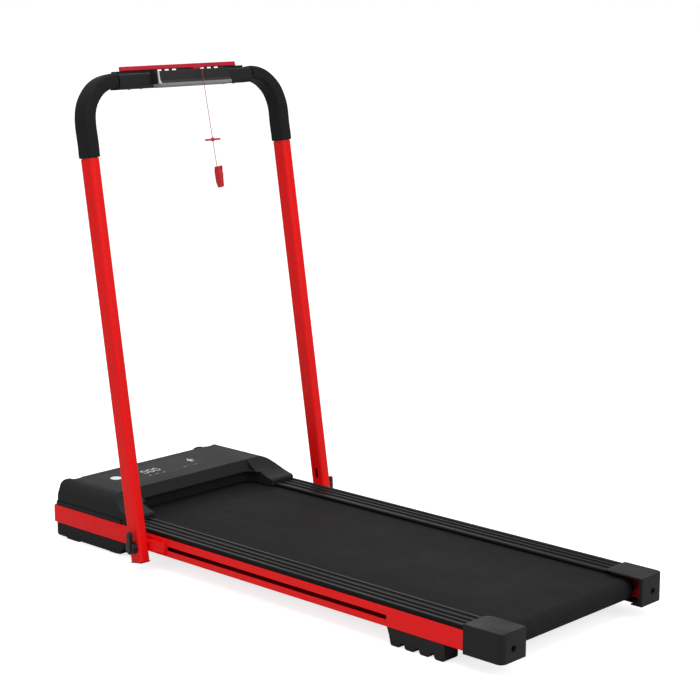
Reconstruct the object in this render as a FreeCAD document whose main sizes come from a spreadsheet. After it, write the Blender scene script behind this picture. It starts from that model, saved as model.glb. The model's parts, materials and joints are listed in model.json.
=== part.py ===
import FreeCAD, Part
import math
import os
import sys
import Sketcher

# Flat-belt folding treadmill with a fold-down U handrail.
# Millimetres. Origin on the floor under the middle of the overall length,
# +X towards the rear (open) end, -X towards the motor hood, -Y the user's
# left, +Z up. The handrail is drawn in its own upright frame (z along the
# uprights, origin on the pivot axis) and placed leaning forward.

os.makedirs("parts", exist_ok=True)
V = FreeCAD.Vector
doc = FreeCAD.newDocument("folding_treadmill")
sheet = doc.addObject("Spreadsheet::Sheet", "dims")


class Q:
    """A number together with the spreadsheet expression that gives it."""

    def __init__(self, v, e=None):
        self.v = float(v)
        self.e = e

    @staticmethod
    def of(o):
        return o if isinstance(o, Q) else Q(o)

    def txt(self):
        return self.e if self.e is not None else repr(self.v)

    def _mix(self, o, sign, v):
        o = Q.of(o)
        if self.e is None and o.e is None:
            return Q(v)
        return Q(v, "(" + self.txt() + " " + sign + " " + o.txt() + ")")

    def __add__(self, o):
        return self._mix(o, "+", self.v + Q.of(o).v)

    def __sub__(self, o):
        return self._mix(o, "-", self.v - Q.of(o).v)

    def __mul__(self, o):
        return self._mix(o, "*", self.v * Q.of(o).v)

    def __truediv__(self, o):
        return self._mix(o, "/", self.v / Q.of(o).v)

    def __radd__(self, o):
        return Q.of(o) + self

    def __rsub__(self, o):
        return Q.of(o) - self

    def __rmul__(self, o):
        return Q.of(o) * self

    def __neg__(self):
        return Q.of(-1) * self


DIMS = [
    ("rail_out", 250), ("rail_in", 208), ("rail_low", 33.5), ("rail_high", 72.5),
    ("rail_front", 642), ("rail_step", 545), ("rail_end", 618), ("rail_skin", 2),
    ("cap_inset", 3.2), ("slot_from", 259), ("slot_to", 359), ("slot_low", 47.6), ("slot_high", 56.6),
    ("roller_z", 52.4), ("roller_rad", 20), ("front_roller_x", 500), ("rear_roller_x", 585),
    ("axle_rad", 6), ("axle_half", 226), ("run_gap", 0.05),
    ("belt_half", 192), ("belt_thick", 1.6), ("shell_half", 193),
    ("beam_half", 186), ("beam_deep", 25),
    ("board_front", 466), ("board_rear", 548), ("board_half", 204), ("board_low", 57.2), ("board_high", 72.2),
    ("cross_low", 36), ("cross_high", 51.2), ("cross_wide", 40),
    ("cross_first", 400), ("cross_second", 40), ("cross_third", 490),
    ("pad_long", 34), ("pad_wide", 22),
    ("hood_top", 128.5), ("hood_front", 636), ("hood_crease", 458), ("hood_lip_x", 445), ("hood_lip_z", 104),
    ("hood_arm_end", 382), ("hood_arm_z", 92), ("hood_half", 245), ("hood_flat", 204), ("hood_skin", 2.6),
    ("hood_base", 72.6), ("hood_flange", 81), ("arm_in", 168), ("undercut", 16),
    ("cover_from", 381.6), ("cover_in", 187.5), ("cover_out", 248), ("cover_top", 82.5),
    ("cap_low", 28), ("cap_high", 85.5), ("cap_in", 180), ("cap_rear", 636), ("cap_skin", 3),
    ("foot_from", 360), ("foot_to", 500), ("foot_wide", 38),
    ("pan_front", 635), ("pan_low", 3), ("pan_rear_low", 421), ("pan_rear_top", 396), ("pan_half", 246), ("pan_skin", 2.4),
    ("wheel_x", 647), ("wheel_z", 86), ("wheel_rad", 33), ("wheel_in", 189.2), ("wheel_out", 204.8), ("wheel_bore", 4.05),
    ("pivot_x", 318.4), ("pivot_z", 50.5), ("lean", 8.93),
    ("tube_y", 277.4), ("tube_deep", 36), ("tube_wide", 25), ("tube_round", 6), ("tube_skin", 1.5),
    ("tube_bottom", 31.4), ("tube_top", 816), ("foam_low", 817), ("bar_z", 971.6), ("bend_rad", 85),
    ("bar_deep", 32.2), ("bar_wide", 21.2), ("bar_foot", 700), ("foam_deep", 41.2), ("foam_wide", 30.6), ("foam_end", 190.6),
    ("stud_rad", 5), ("bush_rad", 8), ("boss_rad", 14), ("knob_rad", 12.5),
    ("console_half", 101.5), ("console_face", 48), ("console_low", 949.2), ("console_high", 983.6),
    ("tray_half", 190), ("strip_half", 164), ("strip_low", 990.7), ("strip_high", 1000.2),
    ("motor_x", 572), ("motor_z", 72), ("motor_rad", 37), ("pulley_big", 26), ("pulley_small", 11),
    ("key_y", 14), ("clip_drop", 208.5),
]


class Namespace:
    pass


d = Namespace()
for row, (alias, value) in enumerate(DIMS, start=1):
    sheet.set("A%d" % row, alias)
    sheet.set("B%d" % row, str(value))
    sheet.setAlias("B%d" % row, alias)
    setattr(d, alias, Q(value, "dims." + alias))
doc.recompute()

OUT = []


def bind(obj, prop, q):
    """Set a property and bind it to the sheet."""
    q = Q.of(q)
    head, _, tail = prop.partition(".")
    if not tail:
        setattr(obj, prop, q.v)
    if q.e is not None:
        obj.setExpression(prop, q.e)


def place(obj, x, y, z, rot=None):
    x, y, z = Q.of(x), Q.of(y), Q.of(z)
    obj.Placement = FreeCAD.Placement(V(x.v, y.v, z.v), rot or FreeCAD.Rotation())
    for ax, q in (("x", x), ("y", y), ("z", z)):
        if q.e is not None:
            obj.setExpression("Placement.Base." + ax, q.e)


def keep(obj, label):
    obj.Label = label
    OUT.append(obj)
    return obj


# ---------------------------------------------------------------- PartDesign helpers
def body(label):
    return keep(doc.addObject("PartDesign::Body", label), label)


def plane(b, role):
    for f in b.Origin.OriginFeatures:
        if f.Role == role:
            return f
    raise RuntimeError("no plane " + role)


def sketch(b, name, role, off=0.0):
    s = b.newObject("Sketcher::SketchObject", name)
    s.AttachmentSupport = [(plane(b, role), "")]
    s.MapMode = "FlatFace"
    off = Q.of(off)
    s.AttachmentOffset = FreeCAD.Placement(V(0, 0, off.v), FreeCAD.Rotation())
    if off.e is not None:
        s.setExpression("AttachmentOffset.Base.z", off.e)
    return s


def put(s, kind, args, value):
    value = Q.of(value)
    idx = s.addConstraint(Sketcher.Constraint(kind, *args, value.v))
    if value.e is not None:
        s.setExpression("Constraints[%d]" % idx, value.e)


def pin_point(s, geo, pos, x, y):
    x, y = Q.of(x), Q.of(y)
    if abs(x.v) < 1e-9:
        s.addConstraint(Sketcher.Constraint("PointOnObject", geo, pos, -2))
    else:
        put(s, "DistanceX", (-1, 1, geo, pos), x)
    if abs(y.v) < 1e-9:
        s.addConstraint(Sketcher.Constraint("PointOnObject", geo, pos, -1))
    else:
        put(s, "DistanceY", (-1, 1, geo, pos), y)


def pin_one(s, geo, ax, value):
    if abs(value) < 1e-7:
        s.addConstraint(Sketcher.Constraint("PointOnObject", geo, 3, -2 if ax == "x" else -1))
    else:
        s.addConstraint(Sketcher.Constraint("DistanceX" if ax == "x" else "DistanceY", -1, 1, geo, 3, value))


def circle(s, x, y, r):
    x, y, r = Q.of(x), Q.of(y), Q.of(r)
    g = s.addGeometry(Part.Circle(V(x.v, y.v, 0), V(0, 0, 1), r.v), False)
    put(s, "Radius", (g,), r)
    pin_point(s, g, 3, x, y)


def loop(s, pts, closed=True):
    """pts: (x, y) corners; ("A", xm, ym, x, y) is an arc through xm, ym to x, y."""
    n = len(pts)
    ends = [(Q.of(p[-2]), Q.of(p[-1])) for p in pts]
    info = []
    count = n if closed else n - 1
    for i in range(count):
        j = (i + 1) % n
        a, b2 = ends[i], ends[j]
        pa, pb = V(a[0].v, a[1].v, 0), V(b2[0].v, b2[1].v, 0)
        nxt = pts[j]
        if nxt[0] == "A":
            xm, ym = Q.of(nxt[1]), Q.of(nxt[2])
            arc = Part.Arc(pa, V(xm.v, ym.v, 0), pb)
            g = s.addGeometry(arc, False)
            first = s.getPoint(g, 1)
            if first.distanceToPoint(pa) < 1e-4:
                info.append((g, 1, 2, s.Geometry[g].Radius))
            else:
                info.append((g, 2, 1, s.Geometry[g].Radius))
        else:
            g = s.addGeometry(Part.LineSegment(pa, pb), False)
            info.append((g, 1, 2, None))
    for i in range(count):
        g, st, en, rad = info[i]
        if closed or i < count - 1:
            g2, st2, _, _ = info[(i + 1) % count]
            s.addConstraint(Sketcher.Constraint("Coincident", g, en, g2, st2))
        pin_point(s, g, st, *ends[i])
        if rad is not None:
            # the ends are fixed, so one centre coordinate fixes the arc
            c = s.getPoint(g, 3)
            a, b2 = s.getPoint(g, 1), s.getPoint(g, 2)
            if abs(b2.y - a.y) > abs(b2.x - a.x):
                pin_one(s, g, "x", c.x)
            else:
                pin_one(s, g, "y", c.y)
    if not closed:
        g, st, en, rad = info[-1]
        pin_point(s, g, en, *ends[-1])


def rect(s, x0, y0, x1, y1):
    loop(s, [(x0, y0), (x1, y0), (x1, y1), (x0, y1)])


def shapes(s, items):
    for it in items:
        if it[0] == "C":
            circle(s, *it[1:])
        elif it[0] == "R":
            rect(s, *it[1:])
        else:
            loop(s, it[1])


AXES = {"x": ("YZ_Plane", 1), "y": ("XZ_Plane", -1), "z": ("XY_Plane", 1)}
NUM = [0]


def grow(b, axis, lo, hi, items):
    """Pad the sketch items between lo and hi along an axis."""
    NUM[0] += 1
    role, sign = AXES[axis]
    lo, hi = Q.of(lo), Q.of(hi)
    s = sketch(b, "Sketch%d" % NUM[0], role, lo if sign > 0 else -hi)
    shapes(s, items)
    p = b.newObject("PartDesign::Pad", "Pad%d" % NUM[0])
    p.Profile = s
    bind(p, "Length", hi - lo)
    doc.recompute()
    return p


def sink(b, axis, lo, hi, items, must=True):
    """Pocket the sketch items between lo and hi along an axis."""
    NUM[0] += 1
    role, sign = AXES[axis]
    lo, hi = Q.of(lo), Q.of(hi)
    before = b.Shape.Volume
    s = sketch(b, "Sketch%d" % NUM[0], role, hi if sign > 0 else -lo)
    shapes(s, items)
    p = b.newObject("PartDesign::Pocket", "Pocket%d" % NUM[0])
    p.Profile = s
    p.Type = 0
    bind(p, "Length", hi - lo)
    doc.recompute()
    if must and not b.Shape.Volume < before - 1e-3:
        raise RuntimeError("pocket cut nothing: %s %s" % (b.Label, p.Name))
    return p


def mid(e):
    return e.valueAt((e.FirstParameter + e.LastParameter) / 2)


def runs(e, axis):
    if not e.Curve.TypeId.endswith("Line"):
        return False
    t = e.tangentAt(e.FirstParameter)
    return abs(abs(getattr(t, axis)) - 1) < 1e-6


def near(a, b2, tol=0.05):
    return abs(a - b2) < tol


def dress(b, kind, size, pred):
    """Fillet or chamfer the edges of the tip that pred picks."""
    NUM[0] += 1
    base = b.Tip
    names = ["Edge%d" % (i + 1) for i, e in enumerate(base.Shape.Edges) if pred(e)]
    if not names:
        raise RuntimeError("no edges to dress on " + b.Label)
    f = b.newObject("PartDesign::" + kind, "%s%d" % (kind, NUM[0]))
    f.Base = (base, names)
    bind(f, "Radius" if kind == "Fillet" else "Size", size)
    doc.recompute()
    if "Invalid" in f.State or "Error" in f.State or f.Shape.isNull():
        raise RuntimeError("dress failed on %s %s" % (b.Label, f.Name))
    return f


def two(s, lo, hi):
    """A span on side s = -1 or +1, low end first."""
    lo, hi = Q.of(lo), Q.of(hi)
    return (lo, hi) if s > 0 else (-hi, -lo)


# ---------------------------------------------------------------- Part helpers
def box(x0, x1, y0, y1, z0, z1, name="Box"):
    x0, x1, y0, y1, z0, z1 = [Q.of(a) for a in (x0, x1, y0, y1, z0, z1)]
    o = doc.addObject("Part::Box", name)
    bind(o, "Length", x1 - x0)
    bind(o, "Width", y1 - y0)
    bind(o, "Height", z1 - z0)
    place(o, x0, y0, z0)
    return o


TURN = {
    "z": FreeCAD.Rotation(),
    "x": FreeCAD.Rotation(V(0, 1, 0), 90),
    "y": FreeCAD.Rotation(V(1, 0, 0), -90),
}


def cyl(axis, c0, c1, lo, hi, r, name="Cyl"):
    """Cylinder along an axis from lo to hi; c0, c1 are the other two coordinates in X, Y, Z order."""
    c0, c1, lo, hi, r = [Q.of(a) for a in (c0, c1, lo, hi, r)]
    o = doc.addObject("Part::Cylinder", name)
    bind(o, "Radius", r)
    bind(o, "Height", hi - lo)
    pos = {"x": (lo, c0, c1), "y": (c0, lo, c1), "z": (c0, c1, lo)}[axis]
    place(o, *pos, rot=TURN[axis])
    return o


def cut(base, tools, name="Cut"):
    o = doc.addObject("Part::Cut", name)
    o.Base = base
    o.Tool = tools if not isinstance(tools, list) else (tools[0] if len(tools) == 1 else fuse(tools))
    return o


def fuse(items, name="Fuse"):
    o = doc.addObject("Part::MultiFuse", name)
    o.Shapes = items
    o.Refine = True
    return o


def group(items, label):
    """Several separate solids in one node."""
    o = doc.addObject("Part::Compound", label)
    o.Links = items
    return keep(o, label)


def rounded(base, r, pred, name="Fillet"):
    doc.recompute()
    o = doc.addObject("Part::Fillet", name)
    o.Base = base
    o.Edges = [(i + 1, r, r) for i, e in enumerate(base.Shape.Edges) if pred(e)]
    return o


SIDES = (("left", -1), ("right", 1))

# ================================================================ frame
for side, s in SIDES:
    b = body("side_rail_" + side)
    y0, y1 = two(s, d.rail_in, d.rail_out)
    grow(b, "x", -d.rail_front, d.rail_step, [("R", y0, d.rail_low, y1, d.rail_high)])
    dress(b, "Fillet", 7, lambda e: runs(e, "z") and near(mid(e).x, -642) and near(mid(e).y, s * 250))
    dress(b, "Fillet", 2.2, lambda e: runs(e, "x") or (mid(e).x < -634 and abs(mid(e).y) > 240 and not runs(e, "z") and not runs(e, "y")))
    y2, y3 = two(s, d.rail_in, d.rail_out - d.cap_inset)
    grow(b, "x", d.rail_step, d.rail_end, [("R", y2, d.rail_low, y3, d.rail_high)])
    y4, y5 = two(s, d.rail_in + d.rail_skin, d.rail_out - d.cap_inset - d.rail_skin)
    sink(b, "x", -d.rail_front + 9, d.rail_end - 6, [("R", y4, d.rail_low + d.rail_skin, y5, d.rail_high - d.rail_skin)])
    ya, yb = two(s, d.rail_out - 9, d.rail_out - d.rail_skin)
    sink(b, "x", -d.rail_front + 9, d.rail_step - 3, [("R", ya, d.rail_low + d.rail_skin, yb, d.rail_high - d.rail_skin)])
    yc, yd = two(s, d.rail_out - 12, d.rail_out + 1)
    sink(b, "y", yc, yd, [("R", -d.slot_from, d.slot_low, d.slot_to, d.slot_high)])
    dress(b, "Fillet", 3.4, lambda e: runs(e, "y") and (near(mid(e).x, -259) or near(mid(e).x, 359)) and abs(mid(e).y) > 247)
    ye, yf = two(s, d.rail_in - 1, d.rail_in + d.rail_skin + 1)
    sink(b, "y", ye, yf, [("C", -d.front_roller_x, d.roller_z, d.axle_rad + 0.1),
                          ("R", d.rear_roller_x - 14, d.roller_z - d.axle_rad - 0.2, d.rear_roller_x + 14, d.roller_z + d.axle_rad + 0.2)])
    sink(b, "x", d.rail_end - 8, d.rail_end + 1, [("C", 217 * s, d.roller_z, 4.3)])

# front beam between the rails, hollow box section closed by the rails
b = body("front_beam")
grow(b, "y", -d.beam_half, d.beam_half, [("R", -d.rail_front, d.rail_low, -d.rail_front + d.beam_deep, d.rail_high)])
dress(b, "Fillet", 3, lambda e: runs(e, "y"))
sink(b, "y", -d.beam_half - 1, d.beam_half + 1, [("R", -d.rail_front + 2, d.rail_low + 2, -d.rail_front + d.beam_deep - 2, d.rail_high - 2)])

# three equal cross members under the running deck
crosses = []
for i, cx in enumerate((-d.cross_first, d.cross_second, d.cross_third)):
    half = d.cross_wide / 2
    outer = box(cx - half, cx + half, -d.rail_in + 0.05, d.rail_in - 0.05, d.cross_low, d.cross_high)
    inner = box(cx - half + 2, cx + half - 2, -d.rail_in - 1, d.rail_in + 1, d.cross_low + 2, d.cross_high - 2)
    crosses.append(cut(outer, inner))
group(crosses, "cross_members")

# hinge brackets welded on the rails, each with its pivot boss, welded pivot stud and rear gusset
for side, s in SIDES:
    b = body("hinge_bracket_" + side)
    y0, y1 = two(s, d.rail_out, d.rail_out + 4)
    grow(b, "y", y0, y1, [("P", [(-352, d.rail_low + 3), (-268, d.rail_low + 3), (-262, d.rail_low + 9), (-262, d.rail_high - 8), (-268, d.rail_high - 2), (-352, d.rail_high - 2)])])
    y2, y3 = two(s, d.rail_out + 3, d.rail_out + 14.7)
    grow(b, "y", y2, y3, [("C", -d.pivot_x, d.pivot_z, d.boss_rad)])
    g0, g1 = s * (d.rail_out + 3), s * (d.rail_out + 14.5)
    grow(b, "z", 42, 64, [("P", [(-303.5, g0), (-263, g0), (-266, s * (d.rail_out + 5)), (-292, g1), (-303.5, g1)])])
    dress(b, "Fillet", 1.5, lambda e: runs(e, "y") and mid(e).x > -303 and abs(mid(e).y) < 255)
    y4, y5 = two(s, d.rail_out + 14, d.rail_out + 52)
    grow(b, "y", y4, y5, [("C", -d.pivot_x, d.pivot_z, d.stud_rad)])
    dress(b, "Chamfer", 0.8, lambda e: near(abs(mid(e).y), 302))

# ================================================================ running deck
b = body("running_deck")
grow(b, "z", d.board_low, d.board_high, [("R", -d.board_front, -d.board_half, d.board_rear, d.board_half)])
dress(b, "Fillet", 5, lambda e: runs(e, "y") and near(mid(e).z, 72.2))
sink(b, "z", d.board_low - 1, d.board_high + 1, [("C", x, y, 3) for x in (-d.cross_first, d.cross_second, d.cross_third) for y in (-198.2, 198.2)])

pads, screws = [], []
for cx in (-d.cross_first, d.cross_second, d.cross_third):
    for cy in (-198.2, -90, 90, 198.2):
        if abs(cy) < 100:
            pads.append(box(cx - d.pad_long / 2, cx + d.pad_long / 2, cy - 11, cy + 11, d.cross_high, d.board_low))
        else:
            p = box(cx - d.pad_long / 2, cx + d.pad_long / 2, cy - 5.5, cy + 5.5, d.cross_high, d.board_low)
            pads.append(cut(p, cyl("z", cx, cy, d.cross_high - 1, d.board_low + 1, 3)))
            stem = cyl("z", cx, cy, d.cross_high + 0.1, d.board_high, 2.8)
            head = cyl("z", cx, cy, d.board_high, d.board_high + 1.6, 4.6)
            screws.append(cut(fuse([stem, head]), cyl("z", cx, cy, d.board_high + 0.5, d.board_high + 3, 1.5)))
group(pads, "deck_cushions")
group(screws, "deck_screws")


def stadium(xa, xb, z, r, ya, yb):
    return fuse([cyl("y", xa, z, ya, yb, r), cyl("y", xb, z, ya, yb, r), box(xa, xb, ya, yb, z - r, z + r)])


outer = stadium(-d.front_roller_x, d.rear_roller_x, d.roller_z, d.roller_rad + d.belt_thick, -d.belt_half, d.belt_half)
inner = stadium(-d.front_roller_x, d.rear_roller_x, d.roller_z, d.roller_rad + 0.1, -d.belt_half - 1, d.belt_half + 1)
keep(cut(outer, inner, "walking_belt"), "walking_belt")

# rollers on sealed bearings round fixed axles
for name, rx in (("front", -d.front_roller_x), ("rear", d.rear_roller_x)):
    b = body(name + "_roller")
    grow(b, "y", -d.shell_half, d.shell_half, [("C", rx, d.roller_z, d.roller_rad)])
    sink(b, "y", -d.shell_half - 1, d.shell_half + 1, [("C", rx, d.roller_z, d.roller_rad - 3)])
    dress(b, "Chamfer", 1, lambda e: near(e.Length, 2 * math.pi * 20, 0.5))
    rings = []
    for s in (-1, 1):
        a, c = two(s, d.shell_half - 14, d.shell_half - 2)
        rings.append(cut(cyl("y", rx, d.roller_z, a, c, d.roller_rad - 3), cyl("y", rx, d.roller_z, a - 1, c + 1, d.axle_rad + d.run_gap)))
    group(rings, name + "_bearings")
keep(cyl("y", -d.front_roller_x, d.roller_z, -d.rail_in - 8, d.rail_in + 8, d.axle_rad, "front_axle"), "front_axle")
ra = cyl("y", d.rear_roller_x, d.roller_z, -d.axle_half, d.axle_half, d.axle_rad)
keep(cut(ra, [cyl("x", s * 217, d.roller_z, d.rear_roller_x - 9, d.rear_roller_x + 9, 4.05) for s in (-1, 1)], "rear_axle"), "rear_axle")

bolts = []
for s in (-1, 1):
    shank = cyl("x", s * 217, d.roller_z, d.rear_roller_x - 22, d.rail_end + 2, 4)
    hexh = doc.addObject("Part::Prism", "Hex")
    hexh.Polygon = 6
    hexh.Circumradius = 7.4
    hexh.Height = 5
    place(hexh, d.rail_end + 0.05, s * 217, d.roller_z, TURN["x"])
    bolts.append(fuse([shank, hexh]))
group(bolts, "roller_adjust_bolts")

# drive: motor, poly-V pulleys and belt at the right-hand end
pulley_y0, pulley_y1 = Q(194.2), Q(206.4)
b = body("roller_pulley")
grow(b, "y", d.shell_half, pulley_y1, [("C", -d.front_roller_x, d.roller_z, d.pulley_big)])
sink(b, "y", pulley_y0 + 1.2, pulley_y1 - 1.2, [("P", [(-d.front_roller_x - 30, 10), (-d.front_roller_x + 30, 10), (-d.front_roller_x + 30, 95), (-d.front_roller_x - 30, 95)]), ("C", -d.front_roller_x, d.roller_z, d.pulley_big - 2)])
sink(b, "y", d.shell_half - 1, pulley_y1 + 1, [("C", -d.front_roller_x, d.roller_z, d.axle_rad + 1)])
b = body("motor_pulley")
grow(b, "y", pulley_y0 - 2, pulley_y1, [("C", -d.motor_x, d.motor_z, d.pulley_small)])
sink(b, "y", pulley_y0 + 1.2, pulley_y1 - 1.2, [("R", -d.motor_x - 20, 50, -d.motor_x + 20, 95), ("C", -d.motor_x, d.motor_z, d.pulley_small - 2)])
sink(b, "y", pulley_y0 - 4, pulley_y1 + 1, [("C", -d.motor_x, d.motor_z, 4)])


def wrap(r_a, r_b, ya, yb):
    """Closed band shape round two circles in the XZ plane."""
    xa, za, xb, zb = -d.motor_x.v, d.motor_z.v, -d.front_roller_x.v, d.roller_z.v
    dx, dz = xb - xa, zb - za
    dist = math.hypot(dx, dz)
    base = math.atan2(dz, dx)
    off = math.acos((r_a - r_b) / dist)
    def pt(cx, cz, r, a):
        return V(cx + r * math.cos(a), ya, cz + r * math.sin(a))
    p1, p2 = pt(xa, za, r_a, base + off), pt(xb, zb, r_b, base + off)
    p3, p4 = pt(xb, zb, r_b, base - off), pt(xa, za, r_a, base - off)
    e1 = Part.LineSegment(p1, p2).toShape()
    e2 = Part.Arc(p2, pt(xb, zb, r_b, base), p3).toShape()
    e3 = Part.LineSegment(p3, p4).toShape()
    e4 = Part.Arc(p4, pt(xa, za, r_a, base + math.pi), p1).toShape()
    return Part.Face(Part.Wire([e1, e2, e3, e4])).extrude(V(0, yb - ya, 0))


band = doc.addObject("Part::Feature", "drive_belt")
ya, yb = pulley_y0.v + 1.5, pulley_y1.v - 1.5
ra_, rb_ = d.pulley_small.v - 2, d.pulley_big.v - 2
band.Shape = wrap(ra_ + 1.9, rb_ + 1.9, ya, yb).cut(wrap(ra_ + 0.1, rb_ + 0.1, ya - 1, yb + 1))
keep(band, "drive_belt")

b = body("motor_housing")
grow(b, "y", 44, 178, [("C", -d.motor_x, d.motor_z, d.motor_rad)])
sink(b, "y", 48, 174, [("C", -d.motor_x, d.motor_z, d.motor_rad - 4)])
dress(b, "Fillet", 4, lambda e: near(e.Length, 2 * math.pi * 37, 0.5))
sink(b, "y", 40, 182, [("C", -d.motor_x, d.motor_z, 4.1)])
sink(b, "y", 40, 52, [("C", -d.motor_x + 22 * math.cos(a), d.motor_z + 22 * math.sin(a), 4) for a in (0.5, 1.55, 2.6, 3.65, 4.7, 5.75)])
b = body("motor_armature")
grow(b, "y", 34, pulley_y1, [("C", -d.motor_x, d.motor_z, 4)])
grow(b, "y", 62, 160, [("C", -d.motor_x, d.motor_z, 26)])
grow(b, "y", 160, 172, [("C", -d.motor_x, d.motor_z, 12)])
b = body("motor_bracket")
grow(b, "y", 60, 160, [("P", [(-d.rail_front + d.beam_deep, 36), (-596, 36), (-596, 30.5), (-546, 30.5), (-546, 34.6), (-d.rail_front + d.beam_deep + 3, 40), (-d.rail_front + d.beam_deep, 44)])])
sink(b, "y", 58, 162, [("C", -d.motor_x, d.motor_z, d.motor_rad + 0.05)])

# controller on the pan floor, mains inlet, switch and breaker in the pan's front wall
b = body("controller_box")
grow(b, "z", 34, 70, [("R", -612, -150, -532, 20)])
dress(b, "Fillet", 3, lambda e: runs(e, "z"))
sink(b, "z", 36, 71, [("R", -610, -148, -534, 18)])
for k in range(7):
    grow(b, "z", 70 - 30, 74, [("R", -606 + 10 * k, -146, -603 + 10 * k, 16)])

# ================================================================ hood and pan
b = body("motor_hood")
H = d.hood_half
prof = [(-d.hood_front + 5, d.hood_base), (-d.hood_front + 5, d.hood_top), (-d.hood_crease, d.hood_top),
        ("A", -425, 105.5, -d.hood_arm_end - 4, d.hood_arm_z), (-d.hood_arm_end, d.hood_arm_z - 4), (-d.hood_arm_end, d.hood_base)]
grow(b, "y", -H, H, [("P", prof)])
dress(b, "Fillet", 20, lambda e: runs(e, "y") and near(mid(e).x, -631) and near(mid(e).z, 128.5))
# side walls: flat top panel, large convex shoulders
for s in (-1, 1):
    sink(b, "x", -d.hood_front - 5, -d.hood_arm_end + 5,
         [("P", [(s * d.hood_flat, d.hood_top), ("A", s * 232, 118, s * H, 86), (s * (H + 5), 86), (s * (H + 5), d.hood_top + 5), (s * d.hood_flat, d.hood_top + 5)])])
# base flange standing slightly proud of the walls
grow(b, "z", d.hood_base, d.hood_flange, [("P", [(-d.hood_front, -H - 3), (-d.hood_arm_end - 30, -H - 3), (-d.hood_arm_end - 30, H + 3), (-d.hood_front, H + 3)])])
dress(b, "Fillet", 7, lambda e: runs(e, "z") and near(mid(e).x, -636) and abs(mid(e).y) > 240)
# opening over the belt
A = d.arm_in


def ushape(lip, half):
    return ("P", [(-300, -half), (lip + 24, -half), ("A", lip + 7.5, -half + 8, lip, -half + 27), (lip, half - 27),
                  ("A", lip + 7.5, half - 8, lip + 24, half), (-300, half)])


sink(b, "z", d.hood_base - 5, d.hood_top + 5, [ushape(-d.hood_lip_x, A)])
sink(b, "y", -A, A, [("P", [(-d.hood_crease, d.hood_top), (-d.hood_crease, d.hood_top + 3), (-400, d.hood_top + 3), (-400, d.hood_lip_z + 2), (-d.hood_lip_x - 1.06, d.hood_lip_z + 2)])])
sink(b, "z", d.hood_base - 5, d.hood_lip_z, [ushape(-d.hood_lip_x - d.undercut, A + 9)])
# inside hollow, in three steps under the shell
k = d.hood_skin
sink(b, "z", d.hood_base - 5, d.hood_top - k, [("R", -d.hood_front + 5 + k, -d.hood_flat + 22, -d.hood_crease - 8, d.hood_flat - 22)])
for s in (-1, 1):
    a, c = two(s, d.hood_flat - 23, d.hood_half - 16)
    sink(b, "z", d.hood_base - 5, 110, [("R", -d.hood_front + 5 + k, a, -d.hood_crease - 8, c)])
    a, c = two(s, 209, d.hood_half - k)
    sink(b, "z", d.hood_base - 5, 84, [("R", -d.hood_front + 5 + k, a, -d.hood_arm_end - 36, c)])
    # notch for the transport wheel and its ears
    a, c = two(s, 184.5, 209.5)
    sink(b, "z", d.hood_base - 5, d.hood_top + 5, [("R", -d.hood_front - 20, a, -d.wheel_x + d.wheel_rad + 3, c)])
# running clearance over the belt and its edges
sink(b, "z", d.hood_base - 5, 76.4, [("R", -d.hood_crease - 12, -204.5, -d.hood_arm_end + 5, 204.5)])
# recess for the display window
sink(b, "z", d.hood_top - 1.2, d.hood_top + 1, [("R", -594, -165, -500, 90)])

keep(box(-593.9, -500.1, -164.9, 89.9, d.hood_top - 1.15, d.hood_top, "display_window"), "display_window")

# lit marks on the window: round remote receiver spot, three seven-segment zeros, two icon rows
marks = []
t0, t1 = d.hood_top, d.hood_top + 0.25
marks.append(cyl("z", -549, -144, t0, t1, 13))


def seg7(cx, cy, hx, hy, on):
    """Seven-segment figure lying on the top face; height along -X, width along Y."""
    w = 2.6
    g = 0.35
    tiles = {
        "a": (cx - hx - w / 2, cx - hx + w / 2, cy - hy + g, cy + hy - g),
        "g": (cx - w / 2, cx + w / 2, cy - hy + g, cy + hy - g),
        "d": (cx + hx - w / 2, cx + hx + w / 2, cy - hy + g, cy + hy - g),
        "f": (cx - hx + w / 2 + g, cx - w / 2 - g, cy - hy - w / 2, cy - hy + w / 2 - 1),
        "b": (cx - hx + w / 2 + g, cx - w / 2 - g, cy + hy - w / 2 + 1, cy + hy + w / 2),
        "e": (cx + w / 2 + g, cx + hx - w / 2 - g, cy - hy - w / 2, cy - hy + w / 2 - 1),
        "c": (cx + w / 2 + g, cx + hx - w / 2 - g, cy + hy - w / 2 + 1, cy + hy + w / 2),
    }
    return [box(*tiles[c], t0, t1) for c in on]


for n, cy in enumerate((-68, -51, -34)):
    marks += seg7(-541, cy, 10, 4.8, "abcdef")
for n in range(3):
    marks.append(box(-513, -509.5, -81 + 20 * n, -73 + 20 * n, t0, t1))
for a in range(4):
    ang = a * 45
    bar = box(-7.5, 7.5, -1.1, 1.1, 0, 0.25)
    bar.Placement = FreeCAD.Placement(V(-548, 68, t0.v), FreeCAD.Rotation(V(0, 0, 1), ang))
    if a == 0:
        star = [bar]
    else:
        star.append(bar)
marks.append(fuse(star))
marks.append(box(-512.5, -510, 22, 32, t0, t1))
marks.append(box(-512.5, -510, 54, 64, t0, t1))
group(marks, "display_marks")

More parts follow.
